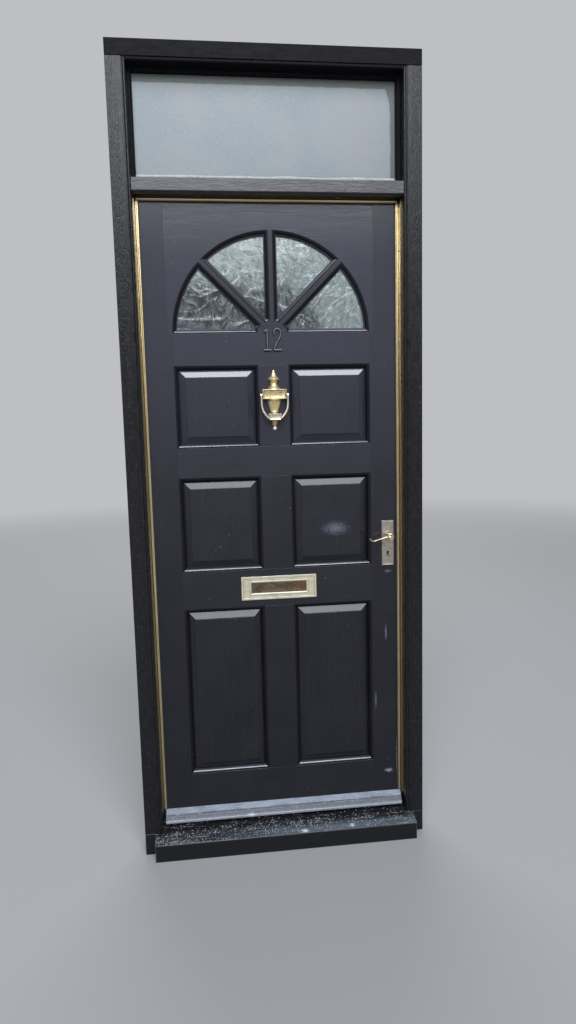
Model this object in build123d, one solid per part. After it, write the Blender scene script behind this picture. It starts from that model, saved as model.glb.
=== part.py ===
from build123d import *
import os

# Panelled front door with a sunburst fanlight, hung in its own frame.
# Millimetres. Z is up, X is to the right as seen from outside, Y goes into the house.
# The origin is on the underside of the sill, on the centre line of the frame, below
# the outer face of the closed leaf.

# How far a cutting tool runs past the surface it cuts
overcut = 1.0

# Leaf
leaf_width = 838.0
leaf_height = 1981.0
leaf_thickness = 44.0
edge_gap = 3.0
foot_gap = 8.0

# Leaf members, between the sharp edges of their flat faces
stile_width = 112.0
muntin_width = 96.0
bottom_rail_height = 144.0
middle_rail_height = 122.0
middle_panel_height = 301.0
upper_rail_height = 94.0
upper_panel_height = 253.0
fan_rail_height = 98.0
crown_height = 105.0
arch_haunch = 15.0

# Moulding run on the edges of every opening: a square step, then a quarter round
moulding_step = 2.0
moulding_quirk = 2.0
moulding_radius = 8.0

# Raised and fielded panels
groove_depth = 9.0
groove_width = 12.0
groove_play = 1.0
bevel_width = 24.0
field_edge = 1.0
field_step = 3.0
field_sink = 3.0

# Sunburst fanlight
bar_face = 13.0
bar_count = 3
hub_face_radius = 50.0
hub_drop = 14.0
glass_rebate = 9.0
glass_front = 16.0
glass_thickness = 6.0
glass_play = 1.0
fan_bead_width = 10.0
fan_bead_depth = 16.0

# Frame
frame_face = 57.0
stop_depth = 57.0
stop_gap = 1.5
stop_lap = 14.0
top_lap = 12.0
transom_face = 38.0
toplight_height = 315.0
bead_radius = 5.0
bead_quirk = 2.5
bead_quirk_depth = 4.0
arris_radius = 3.0

# Sill
sill_height = 83.0
sill_nosing_height = 56.0
sill_projection = 48.0
sill_flat_front = 10.0
sill_reveal_notch = 34.0
sill_nose_radius = 6.0
drip_radius = 4.0
drip_setback = 20.0

# Toplight glazing
toplight_glass_thickness = 6.0
toplight_glass_play = 2.0
outer_bead_face = 12.0
outer_bead_depth = 18.0
inner_bead_face = 14.0
inner_bead_depth = 16.0
bead_chamfer = 5.0

# Perimeter seal: a gold aluminium angle on each stop, with a rubber strip behind it
seal_face = 15.0
seal_flange = 18.0
seal_sheet = 2.0
seal_front = 5.0
seal_touch = 0.3
gasket_width = 9.0
seal_foot_gap = 2.0

# Weatherboard
board_height = 30.0
board_projection = 42.0
board_top_flat = 2.0
board_slope_depth = 28.0
board_slope_fall = 15.0
board_nose_height = 9.0
board_nose_radius = 5.0
board_hinge_gap = 10.0
board_lock_gap = 4.0
board_lock_splay = 6.0

# Letter plate
plate_width = 244.0
plate_height = 76.0
plate_thickness = 4.0
slot_width = 178.0
slot_height = 34.0
plate_rim = 6.0
plate_rim_step = 1.2
slot_chamfer = 2.0
tunnel_width = 196.0
tunnel_height = 54.0
flap_overlap = 4.0
flap_thickness = 2.5
flap_pin_radius = 2.0
flap_knuckle_radius = 3.6
flap_play = 0.4
flap_back_gap = 0.3
flap_drop = 1.0
flap_ear_width = 3.0
flap_ear_half = 4.0
plate_bolt_radius = 3.0
plate_bolt_boss_radius = 6.0
plate_bolt_head_radius = 7.0
plate_bolt_head_height = 3.0

# Knocker, an urn with a swinging ring; drops are measured down from its tip
knocker_top_gap = 15.0
knocker_bar_width = 75.0
knocker_bar_height = 30.0
knocker_bar_depth = 22.0
knocker_bar_drop = 61.0
knocker_bar_rim = 5.0
knocker_bar_sink = 2.0
knocker_ball_drop = 182.0
knocker_ball_radius = 7.6
knocker_pivot_drop = 80.0
knocker_pivot_out = 13.0
knocker_pin_radius = 2.5
knocker_pin_depth = 14.0
knocker_pin_play = 0.2
knocker_play = 0.4
ring_section = 7.0
ring_front = 26.0
ring_ear_radius = 8.0
ring_bend_drop = 104.0
ring_bulge = 5.0
striker_drop = 136.0
striker_height = 20.0
striker_width = 42.0
striker_depth = 9.0
striker_proud = 1.0
striker_splay = 3.0
knocker_bolt_radius = 3.0
knocker_bolt_head_radius = 7.5
knocker_bolt_head_height = 4.0
knocker_bolt_spacing = 76.0

# Turned outlines of the knocker, as radius and drop
finial_outline = [
    (1.5, 0), (4.5, 3), (5.5, 8), (4.5, 12), (8, 19), (10, 26), (17, 29), (17, 33),
    (10, 36), (9, 42), (7, 47), (8, 53), (14, 60), (16, 62),
]
urn_outline = [
    (23, 91), (23, 94), (19, 104), (14, 120), (11, 131), (11, 157), (9.5, 158), (9.5, 162),
    (7, 174), (5, 175),
]

# Sash lock with a lever handle each side
spindle_height = 918.0
lock_backset = 57.0
lock_centres = 57.0
lock_case_depth = 76.0
lock_case_height = 150.0
lock_case_thickness = 15.0
lock_case_wall = 1.6
lock_case_above_spindle = 42.0
forend_height = 166.0
forend_width = 22.0
forend_thickness = 3.0
latch_rise = 22.0
latch_height = 20.0
latch_thickness = 11.0
latch_throw = 12.0
latch_head_length = 30.0
latch_stem_height = 6.0
latch_stem_width = 4.0
latch_tail_rise = 13.5
latch_nose = 2.0
dead_bolt_rise = 20.0
dead_bolt_height = 20.0
dead_bolt_length = 70.0
key_notch_width = 16.0
key_notch_depth = 5.0
bolt_play = 0.5
spindle_side = 7.6
follower_radius = 9.0
follower_arm = 9.0
follower_arm_width = 6.0
follower_play = 0.4
mortice_play = 1.0
latch_back_gap = 0.2
latch_arm_gap = 0.4

# Handle plates and levers
handle_plate_width = 41.0
handle_plate_height = 149.0
handle_plate_thickness = 5.0
handle_plate_chamfer = 2.0
handle_plate_above_spindle = 48.0
collar_radius = 14.0
collar_height = 5.0
handle_plate_sink = 1.0
neck_radius = 8.5
neck_play = 0.3
neck_end_gap = 1.0
lever_boss_radius = 10.5
lever_reach = 69.0
lever_dip = 12.5
lever_height = 8.0
lever_width = 15.0
lever_out = 46.0
key_hole_radius = 4.2
key_slot_width = 4.6
key_slot_drop = 13.0

# Keep plate in the lock jamb
keep_height = 166.0
keep_width = 26.0
keep_thickness = 2.5
keep_play = 2.0
keep_pocket_depth = 26.0

# Butt hinges
hinge_height = 100.0
hinge_plate_width = 37.5
hinge_plate_thickness = 2.5
hinge_barrel_radius = 5.6
hinge_pin_radius = 3.0
hinge_pin_play = 0.1
hinge_pin_out = 5.6
hinge_knuckles = 5
hinge_knuckle_gap = 0.4
hinge_top_drop = 175.0
hinge_foot_rise = 275.0

# Fixing holes through the jambs, for screws into the wall
fixing_radius = 4.0
fixing_first = 200.0
fixing_pitch = 600.0
fixing_count = 4

# Levels and lines that several pieces share
moulding_width = moulding_quirk + moulding_radius
moulding_depth = moulding_step + moulding_radius
leaf_half = leaf_width / 2
leaf_foot = sill_height + foot_gap
leaf_top = leaf_foot + leaf_height
panel_half = leaf_half - stile_width
fixed_heights = (
    bottom_rail_height + middle_rail_height + middle_panel_height + upper_rail_height
    + upper_panel_height + fan_rail_height + crown_height
)
lower_panel_height = leaf_height - fixed_heights - panel_half
bottom_rail_top = leaf_foot + bottom_rail_height
middle_rail_foot = bottom_rail_top + lower_panel_height
middle_rail_top = middle_rail_foot + middle_rail_height
upper_rail_foot = middle_rail_top + middle_panel_height
upper_rail_top = upper_rail_foot + upper_rail_height
fan_rail_foot = upper_rail_top + upper_panel_height
springing = fan_rail_foot + fan_rail_height
muntin_half = muntin_width / 2
rebate_half = leaf_half + edge_gap
stop_half = leaf_half - stop_lap
frame_half = stop_half + frame_face
soffit = leaf_top - top_lap
transom_top = soffit + transom_face
head_soffit = transom_top + toplight_height
frame_top = head_soffit + frame_face
rebate_width = rebate_half - stop_half
bar_depth = glass_front + glass_thickness + fan_bead_depth
pin_y = leaf_thickness + hinge_pin_out
pin_x = -(leaf_half + edge_gap / 2)
spindle_x = leaf_half - lock_backset
spindle_z = leaf_foot + spindle_height
key_z = spindle_z - lock_centres
latch_z = spindle_z + latch_rise
dead_bolt_z = key_z + dead_bolt_rise
case_back_x = leaf_half - lock_case_depth
case_top = spindle_z + lock_case_above_spindle
case_foot = case_top - lock_case_height
forend_z = case_top - lock_case_height / 2
mid_y = leaf_thickness / 2
plate_z = (middle_rail_foot + middle_rail_top) / 2
flap_z = plate_z + slot_height / 2 + flap_knuckle_radius + flap_drop
flap_y = flap_knuckle_radius + flap_back_gap
knocker_top = fan_rail_foot - knocker_top_gap
bar_top = knocker_top - knocker_bar_drop
pivot_z = knocker_top - knocker_pivot_drop
pivot_y = -knocker_pivot_out


def outline(*points):
    """A flat face inside straight edges."""
    return make_face(Polyline(*points, close=True))


def patch(x0, x1, y0, y1):
    """A flat rectangle between two pairs of lines."""
    return outline((x0, y0), (x1, y0), (x1, y1), (x0, y1))


def block(x0, x1, y0, y1, z0, z1):
    """A plain block between three pairs of planes."""
    return Pos((x0 + x1) / 2, (y0 + y1) / 2, (z0 + z1) / 2) * Box(x1 - x0, y1 - y0, z1 - z0)


def slab(face, y0, y1):
    """A board whose outline is drawn in X and Z, between two depths."""
    return Pos(0, y1, 0) * extrude(Plane.XZ * face, y1 - y0)


def upright(section, x, z0, z1):
    """A section drawn in X and Y, run upwards."""
    return Pos(x, 0, z0) * extrude(section, z1 - z0)


def level(section, x0, x1, z):
    """A section drawn in Z and Y, run from side to side."""
    plane = Plane(origin=(x1, 0, z), x_dir=(0, 0, 1), z_dir=(-1, 0, 0))
    return extrude(plane * section, x1 - x0)


def side_section(face, x0, x1):
    """A section drawn in Y and Z, run from side to side."""
    plane = Plane(origin=(x0, 0, 0), x_dir=(0, 1, 0), z_dir=(1, 0, 0))
    return extrude(plane * face, x1 - x0)


def rod_y(x, z, radius, y0, y1):
    """A round bar or hole through the leaf."""
    return Pos(x, (y0 + y1) / 2, z) * Rot(90, 0, 0) * Cylinder(radius, y1 - y0)


def rod_x(y, z, radius, x0, x1):
    """A round bar or hole from side to side."""
    return Pos((x0 + x1) / 2, y, z) * Rot(0, 90, 0) * Cylinder(radius, x1 - x0)


def rod_z(x, y, radius, z0, z1):
    """An upright round bar or hole."""
    return Pos(x, y, (z0 + z1) / 2) * Cylinder(radius, z1 - z0)


def save(name, shape):
    """Write one piece, or one group of like pieces, to its own file."""
    export_step(shape, f"parts/{name}.step")


# Openings in the leaf

def lip(reach):
    """Section of a moulded edge, seen as the space it leaves, to both sides of the middle."""
    quarter_reach = reach - moulding_quirk
    step = patch(-reach, reach, -overcut, moulding_step)
    hollow = patch(-quarter_reach, quarter_reach, moulding_step, moulding_depth)
    right_round = Pos(quarter_reach, moulding_depth) * Circle(moulding_radius)
    left_round = Pos(-quarter_reach, moulding_depth) * Circle(moulding_radius)
    return step + (hollow - right_round - left_round)


def panel_section(reach):
    """Space across a panelled opening, with the moulding on both faces."""
    root = reach - moulding_width
    through = patch(-root, root, 0, leaf_thickness)
    inner_lip = Pos(0, leaf_thickness) * mirror(lip(reach), about=Plane.XZ)
    return lip(reach) + through + inner_lip


def glazed_section(reach):
    """Space across a glazed opening: moulded outside, rebated inside."""
    root = reach - moulding_width
    rebate = root + glass_rebate
    through = patch(-root, root, 0, glass_front)
    return lip(reach) + through + patch(-rebate, rebate, glass_front, leaf_thickness + overcut)


def panel_opening(x0, x1, z0, z1):
    """Everything that a panel's opening takes out of the members round it."""
    across = upright(panel_section((x1 - x0) / 2), (x0 + x1) / 2, z0 - overcut, z1 + overcut)
    up = level(panel_section((z1 - z0) / 2), x0 - overcut, x1 + overcut, (z0 + z1) / 2)
    sink = moulding_width - groove_depth
    groove_y = (leaf_thickness - groove_width) / 2
    groove = block(x0 + sink, x1 - sink, groove_y, groove_y + groove_width, z0 + sink, z1 - sink)
    return (across & up) + groove


def hub_body():
    """The round boss that the glazing bars spring from, moulded like the bars."""
    half = bar_section(hub_face_radius) & patch(0, 2 * hub_face_radius, -overcut, leaf_thickness)
    centre = springing - hub_drop
    return Pos(0, 0, centre) * revolve(half, axis=Axis.Y, revolution_arc=360)


def fan_opening():
    """The half-round glazed opening, less the hub that stands in it."""
    right = patch(0, panel_half + overcut, -overcut, leaf_thickness + overcut)
    half = glazed_section(panel_half) & right
    disc = Pos(0, 0, springing) * revolve(half, axis=Axis.Y, revolution_arc=360)
    reach = 2 * panel_half
    above = level(glazed_section(reach), -reach, reach, springing + reach)
    return (disc & above) - hub_body()


def bar_section(face_half):
    """Section of a glazing bar: the leaf's own moulding on both edges, then a tongue."""
    shoulder = face_half + moulding_quirk
    root = shoulder + moulding_radius
    face = patch(-face_half, face_half, 0, moulding_step)
    core = patch(-shoulder, shoulder, moulding_step, moulding_depth)
    rounds = Pos(shoulder, moulding_depth) * Circle(moulding_radius)
    rounds += Pos(-shoulder, moulding_depth) * Circle(moulding_radius)
    rounds = rounds & patch(-root, root, moulding_step, moulding_depth)
    base = patch(-root, root, moulding_depth, glass_front)
    tongue_half = root - glass_rebate
    tongue = patch(-tongue_half, tongue_half, glass_front, bar_depth)
    return face + core + rounds + base + tongue


panel_columns = {
    "left": (-panel_half, -muntin_half),
    "right": (muntin_half, panel_half),
}
panel_rows = {
    "upper": (upper_rail_top, fan_rail_foot),
    "middle": (middle_rail_top, upper_rail_foot),
    "lower": (bottom_rail_top, middle_rail_foot),
}


def row_openings(row):
    """Both panel openings of one row."""
    z0, z1 = panel_rows[row]
    return [panel_opening(x0, x1, z0, z1) for x0, x1 in panel_columns.values()]


# Members of the leaf

def moulded_edge(gaps, line, towards):
    """Points along a straight edge that steps into each opening by the moulding's width."""
    points = []
    for start, end in gaps:
        inset = moulding_width if end > start else -moulding_width
        points.append((start, line))
        points.append((start + inset, line + towards))
        points.append((end - inset, line + towards))
        points.append((end, line))
    return points


def stile_outline(side):
    """A stile is full height, cut back above the springing for the arched rail."""
    gaps = [panel_rows[row] for row in ("lower", "middle", "upper")]
    inner = [(x, z) for z, x in moulded_edge(gaps, panel_half, -moulding_width)]
    top = [
        (panel_half, springing),
        (panel_half + arch_haunch, springing),
        (panel_half + arch_haunch, leaf_top),
        (leaf_half, leaf_top),
        (leaf_half, leaf_foot),
        (panel_half, leaf_foot),
    ]
    return outline(*[(side * x, z) for x, z in inner + top])


def rail_outline(foot, top, row_below, row_above):
    """A rail between the stiles, with its own strip of moulding at each opening."""
    columns = list(panel_columns.values())
    lower = [(-panel_half, foot), (panel_half, foot)]
    if row_below:
        lower = moulded_edge(columns, foot, -moulding_width)
    upper = [(panel_half, top), (-panel_half, top)]
    if row_above:
        backwards = [(x1, x0) for x0, x1 in reversed(columns)]
        upper = moulded_edge(backwards, top, moulding_width)
    return outline(*(lower + upper))


def fan_rail_outline():
    """The rail under the fanlight: moulded below for two panels, above for the fan."""
    columns = list(panel_columns.values())
    lower = moulded_edge(columns, fan_rail_foot, -moulding_width)
    upper = moulded_edge([(panel_half, -panel_half)], springing, moulding_width)
    return outline(*(lower + upper))


def muntin_outline(row):
    """A short upright between two panels, moulded on both edges."""
    z0, z1 = panel_rows[row]
    right = moulded_edge([(z0, z1)], muntin_half, moulding_width)
    left = moulded_edge([(z1, z0)], -muntin_half, -moulding_width)
    return outline(*[(x, z) for z, x in right + left])


def top_rail_outline():
    """The deep top rail, with the arch cut out of it."""
    half = panel_half + arch_haunch
    board = patch(-half, half, springing, leaf_top)
    arch = Pos(0, springing) * Circle(panel_half - moulding_width)
    return board - arch - fan_rail_outline()


def member(face, openings):
    """A member at full thickness, less the openings that touch it."""
    body = slab(face, 0, leaf_thickness)
    for opening in openings:
        body -= opening
    return body


def letter_tunnel():
    """The slot that the letter flap swings into, through the middle rail."""
    half = tunnel_width / 2
    rise = tunnel_height / 2
    return block(-half, half, -overcut, leaf_thickness + overcut, plate_z - rise, plate_z + rise)


def lock_mortice():
    """Pocket for the lock case, the forend's recess, and the holes across the stile."""
    half = lock_case_thickness / 2
    case = block(case_back_x, leaf_half + overcut, mid_y - half, mid_y + half, case_foot, case_top)
    forend_x = leaf_half - forend_thickness
    y0 = mid_y - forend_width / 2
    z0 = forend_z - forend_height / 2
    forend = block(forend_x, leaf_half + overcut, y0, y0 + forend_width, z0, z0 + forend_height)
    radius = follower_radius + mortice_play
    spindle = rod_y(spindle_x, spindle_z, radius, -overcut, leaf_thickness + overcut)
    return case + forend + spindle + key_way(-overcut, leaf_thickness + overcut)


def key_way(y0, y1):
    """A keyhole: a round head over a narrower slot."""
    head = rod_y(spindle_x, key_z, key_hole_radius, y0, y1)
    half = key_slot_width / 2
    return head + block(spindle_x - half, spindle_x + half, y0, y1, key_z - key_slot_drop, key_z)


hinge_centres = [
    leaf_top - hinge_top_drop,
    (leaf_top - hinge_top_drop + leaf_foot + hinge_foot_rise) / 2,
    leaf_foot + hinge_foot_rise,
]


def hinge_recesses(edge_x, inwards):
    """Shallow housings that let the hinge plates in flush with an edge."""
    depth = inwards * hinge_plate_thickness
    x0 = min(edge_x, edge_x + depth)
    x1 = max(edge_x, edge_x + depth)
    y0 = pin_y - hinge_plate_width
    half = hinge_height / 2
    cuts = [block(x0, x1, y0, leaf_thickness + overcut, z - half, z + half) for z in hinge_centres]
    return cuts[0] + cuts[1] + cuts[2]


def plate_bolts_x():
    """Where the letter plate's two bolts stand, midway along its ends."""
    return (slot_width / 2 + plate_width / 2) / 2


def make_leaf_members():
    """Stiles, rails and muntins, each cut by the openings beside it."""
    cuts = {row: row_openings(row) for row in panel_rows}
    every_row = cuts["lower"] + cuts["middle"] + cuts["upper"]
    fan = fan_opening()
    hinge_stile = member(stile_outline(-1), every_row) - hinge_recesses(-leaf_half, 1)
    save("hinge_stile", hinge_stile)
    save("lock_stile", member(stile_outline(1), every_row) - lock_mortice())
    bottom = rail_outline(leaf_foot, bottom_rail_top, None, "lower")
    save("bottom_rail", member(bottom, cuts["lower"]))
    middle = rail_outline(middle_rail_foot, middle_rail_top, "lower", "middle")
    middle_rail = member(middle, cuts["lower"] + cuts["middle"]) - letter_tunnel()
    for side in (-1, 1):
        x = side * plate_bolts_x()
        middle_rail -= rod_y(x, plate_z, plate_bolt_boss_radius, -overcut, leaf_thickness + overcut)
    save("middle_rail", middle_rail)
    upper = rail_outline(upper_rail_foot, upper_rail_top, "middle", "upper")
    save("upper_rail", member(upper, cuts["middle"] + cuts["upper"]))
    save("fan_rail", member(fan_rail_outline(), cuts["upper"] + [fan]))
    save("top_rail", member(top_rail_outline(), [fan]))
    for row in panel_rows:
        muntin = member(muntin_outline(row), cuts[row])
        if row == "upper":
            for z in knocker_bolt_levels():
                muntin -= rod_y(0, z, knocker_bolt_radius, -overcut, leaf_thickness + overcut)
        save(f"{row}_muntin", muntin)
    make_fan(fan)


# Panels

def frustum(x0, x1, z0, z1, inset, y_wide, y_narrow):
    """The bevelled margin of a panel, between its tongue and its field."""
    wide = Pos(0, y_wide, 0) * (Plane.XZ * patch(x0, x1, z0, z1))
    narrow = Pos(0, y_narrow, 0) * (
        Plane.XZ * patch(x0 + inset, x1 - inset, z0 + inset, z1 - inset)
    )
    return loft([wide.face(), narrow.face()], ruled=True)


def panel(x0, x1, z0, z1):
    """A panel raised and fielded on both faces, with a tongue all round."""
    tongue_inset = moulding_width - groove_depth + groove_play
    y_front = (leaf_thickness - groove_width) / 2
    y_back = y_front + groove_width
    x_a, x_b = x0 + tongue_inset, x1 - tongue_inset
    z_a, z_b = z0 + tongue_inset, z1 - tongue_inset
    body = block(x_a, x_b, y_front, y_back, z_a, z_b)
    rx0, rx1 = x0 + moulding_width, x1 - moulding_width
    rz0, rz1 = z0 + moulding_width, z1 - moulding_width
    bevel_front = field_sink + field_step
    body += frustum(rx0, rx1, rz0, rz1, bevel_width, y_front, bevel_front)
    back = leaf_thickness - bevel_front
    body += frustum(rx0, rx1, rz0, rz1, bevel_width, y_back, back)
    inset = bevel_width + field_edge
    field_back = leaf_thickness - field_sink
    body += block(rx0 + inset, rx1 - inset, field_sink, field_back, rz0 + inset, rz1 - inset)
    return body


def make_panels():
    """Six panels, named by row and side."""
    for row, (z0, z1) in panel_rows.items():
        for column, (x0, x1) in panel_columns.items():
            save(f"{row}_{column}_panel", panel(x0, x1, z0, z1))


# Fanlight

def bar_angles():
    """The bars share the half circle into equal sectors."""
    return [180.0 * (i + 1) / (bar_count + 1) for i in range(bar_count)]


def bar_strip(half, angle):
    """The straight band that one bar covers, in X and Z."""
    band = patch(-half, half, 0, panel_half)
    return Pos(0, springing) * Rot(0, 0, angle - 90) * band


def fan_void(shrink, tongue_half):
    """Outline of the panes' or beads' space between rim, rail, hub and bars."""
    rim = panel_half - moulding_width + glass_rebate - shrink
    floor = springing + moulding_width - glass_rebate + shrink
    disc = Pos(0, springing) * Circle(rim)
    face = disc & patch(-rim, rim, floor, springing + rim)
    hub_tongue = hub_face_radius + moulding_width - glass_rebate + shrink
    face -= Pos(0, springing - hub_drop) * Circle(hub_tongue)
    for angle in bar_angles():
        face -= bar_strip(tongue_half + shrink, angle)
    return face


def make_fan(fan):
    """Hub, glazing bars, four panes and the beads that hold them from inside."""
    strip_top = springing + moulding_width
    below = block(-panel_half, panel_half, -overcut, leaf_thickness, fan_rail_foot, strip_top)
    hub = hub_body() - below
    save("fan_hub", hub)
    face_half = bar_face / 2
    tongue_half = face_half + moulding_width - glass_rebate
    names = ["right_fan_bar", "centre_fan_bar", "left_fan_bar"]
    section = bar_section(face_half)
    for name, angle in zip(names, bar_angles()):
        standing = Pos(0, 0, springing) * Rot(0, 90 - angle, 0) * extrude(section, panel_half)
        save(name, (standing & fan) - hub)
    panes = slab(fan_void(glass_play, tongue_half), glass_front, glass_front + glass_thickness)
    save("fan_glass", panes)
    space = fan_void(0, tongue_half)
    rings = [face - offset(face, amount=-fan_bead_width) for face in space.faces()]
    back = glass_front + glass_thickness
    beads = [slab(ring, back, back + fan_bead_depth) for ring in rings]
    save("fan_beads", Compound(children=[solid for bead in beads for solid in bead.solids()]))


# Frame

def frame_section():
    """Section of jamb and head: stop, rebate, and a bead on the outer arris."""
    front = -stop_depth
    body = patch(0, frame_face, front, -stop_gap)
    body += patch(rebate_width, frame_face, -stop_gap, leaf_thickness)
    side = 2 * bead_radius
    body -= patch(-overcut, side, front - overcut, front + bead_radius)
    body += Pos(bead_radius, front + bead_radius) * Circle(bead_radius)
    body -= patch(side, side + bead_quirk, front - overcut, front + bead_quirk_depth)
    return body


def sill_profile():
    """Section of the sill: level under the leaf, weathered in front, with a drip."""
    front = -stop_depth - sill_projection
    body = outline(
        (front, 0),
        (front, sill_nosing_height),
        (-sill_flat_front, sill_height),
        (leaf_thickness, sill_height),
        (leaf_thickness, 0),
    )
    nose = body.vertices().sort_by(Axis.X)[:2].sort_by(Axis.Y)[-1]
    body = fillet(nose, sill_nose_radius)
    return body - Pos(front + drip_setback, 0) * Circle(drip_radius)


def make_sill():
    """The sill runs under the jambs; its nosing is notched back at both ends."""
    sill = side_section(sill_profile(), -frame_half, frame_half)
    front = -stop_depth - sill_projection
    for side in (-1, 1):
        x0, x1 = sorted((side * (frame_half - sill_reveal_notch), side * (frame_half + overcut)))
        sill -= block(x0, x1, front, -stop_depth, 0, sill_height)
    save("sill", sill)


def jamb_top_cut():
    """What the head takes off a jamb: a mitre through the bead, then a square housing."""
    mitre = 2 * bead_radius
    line = head_soffit + mitre
    return slab(
        outline(
            (stop_half, head_soffit),
            (stop_half + mitre, line),
            (frame_half + overcut, line),
            (frame_half + overcut, frame_top + overcut),
            (stop_half - overcut, frame_top + overcut),
            (stop_half - overcut, head_soffit),
        ),
        -stop_depth - overcut,
        leaf_thickness + overcut,
    )


def jamb_foot_cut():
    """What the sill takes off the foot of a jamb."""
    profile = sill_profile() + patch(-stop_depth, leaf_thickness, -overcut, sill_nosing_height / 2)
    return side_section(profile, stop_half - overcut, frame_half + overcut)


def fixing_holes(side):
    """Holes for the wall screws, in the rebate behind the closed leaf."""
    x0, x1 = sorted((side * (stop_half - overcut), side * (frame_half + overcut)))
    levels = [fixing_first + fixing_pitch * i for i in range(fixing_count)]
    holes = [rod_x(mid_y, z, fixing_radius, x0, x1) for z in levels]
    return holes


def keep_cut():
    """Recess and pockets in the lock jamb for the keep plate, the latch and the bolt."""
    y0 = mid_y - keep_width / 2
    z0 = forend_z - keep_height / 2
    y1, z1 = y0 + keep_width, z0 + keep_height
    cut = block(rebate_half - overcut, rebate_half + keep_thickness, y0, y1, z0, z1)
    for window in keep_windows(rebate_half, rebate_half + keep_pocket_depth):
        cut += window
    return cut


def keep_windows(x0, x1):
    """The two openings that take the latch and the dead bolt."""
    half_y = latch_thickness / 2 + keep_play
    latch_half = latch_height / 2 + keep_play
    bolt_half = dead_bolt_height / 2 + keep_play
    y0, y1 = mid_y - half_y, mid_y + half_y
    latch = block(x0, x1, y0, y1, latch_z - latch_half, latch_z + latch_half)
    bolt = block(x0, x1, y0, y1, dead_bolt_z - bolt_half, dead_bolt_z + bolt_half)
    return [latch, bolt]


def make_frame():
    """Jambs, head and transom, all from the sections above."""
    section = frame_section()
    right = upright(section, stop_half, 0, frame_top) - jamb_top_cut() - jamb_foot_cut()
    left = mirror(right, about=Plane.YZ)
    for hole in fixing_holes(1):
        right -= hole
    for hole in fixing_holes(-1):
        left -= hole
    save("right_jamb", right - keep_cut())
    save("left_jamb", left - hinge_recesses(-rebate_half, -1))
    head = level(section, -frame_half, frame_half, head_soffit)
    mitre = 2 * bead_radius
    for side in (-1, 1):
        corner = outline(
            (side * stop_half, head_soffit),
            (side * (stop_half + mitre), head_soffit + mitre),
            (side * (frame_half + overcut), head_soffit + mitre),
            (side * (frame_half + overcut), head_soffit - overcut),
            (side * stop_half, head_soffit - overcut),
        )
        head -= slab(corner, -stop_depth - overcut, leaf_thickness + overcut)
    save("head", head)
    make_transom()


def make_transom():
    """The bar between door and toplight, rebated below for the leaf."""
    front = slab(patch(-stop_half, stop_half, soffit, transom_top), -stop_depth, -stop_gap)
    arrises = front.edges().filter_by(Axis.X).group_by(Axis.Y)[0]
    front = fillet(arrises, arris_radius)
    rebate_top = leaf_top + edge_gap
    back_face = patch(-rebate_half, rebate_half, rebate_top, transom_top)
    back = slab(back_face, -stop_gap, leaf_thickness)
    save("transom", front + back)


# Toplight

def mitred_ring(x0, x1, z0, z1, face, y0, y1):
    """Four mitred lengths round a rectangular opening."""
    corners = [(x0, z0), (x1, z0), (x1, z1), (x0, z1)]
    inner = [(x0 + face, z0 + face), (x1 - face, z0 + face)]
    inner += [(x1 - face, z1 - face), (x0 + face, z1 - face)]
    lengths = []
    for i in range(len(corners)):
        j = (i + 1) % len(corners)
        lengths.append(slab(outline(corners[i], corners[j], inner[j], inner[i]), y0, y1))
    return lengths


def chamfer_cutter(x0, x1, z0, z1, face, y, towards):
    """A wedge all round that takes the inner arris off a ring of beads."""
    x_a, x_b = x0 + face - bead_chamfer, x1 - face + bead_chamfer
    z_a, z_b = z0 + face - bead_chamfer, z1 - face + bead_chamfer
    return frustum(x_a, x_b, z_a, z_b, bead_chamfer, y, y + towards * bead_chamfer)


def make_toplight():
    """Fixed obscured pane with cover beads outside and glazing beads inside."""
    glass_y0 = -stop_gap
    glass_y1 = glass_y0 + toplight_glass_thickness
    half = rebate_half - toplight_glass_play
    z0 = transom_top + toplight_glass_play
    z1 = head_soffit + rebate_width - toplight_glass_play
    save("toplight_glass", block(-half, half, glass_y0, glass_y1, z0, z1))
    outer = (-stop_half, stop_half, transom_top, head_soffit)
    cover_front = glass_y0 - outer_bead_depth
    cutter = chamfer_cutter(*outer, outer_bead_face, cover_front, 1)
    covers = [
        bead - cutter for bead in mitred_ring(*outer, outer_bead_face, cover_front, glass_y0)
    ]
    save("toplight_cover_beads", Compound(children=covers))
    inner = (-rebate_half, rebate_half, transom_top, head_soffit + rebate_width)
    back = glass_y1 + inner_bead_depth
    cutter = chamfer_cutter(*inner, inner_bead_face, back, -1)
    beads = [bead - cutter for bead in mitred_ring(*inner, inner_bead_face, glass_y1, back)]
    save("toplight_glazing_beads", Compound(children=beads))


# Perimeter seal

def seal_section():
    """A thin angle: one leg flat on the stop's side, one leg lapping the leaf."""
    y1 = -seal_front + seal_sheet
    face = patch(-seal_face, 0, -seal_front, y1)
    flange = patch(-seal_sheet, 0, y1 - seal_flange, y1)
    return face + flange


def seal_corner(side):
    """Triangle that gives the mitre between a side strip and the top strip."""
    far = seal_face + seal_sheet
    tip = (side * stop_half, soffit)
    return tip, (side * (stop_half - far), soffit), (side * (stop_half - far), soffit - far)


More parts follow.
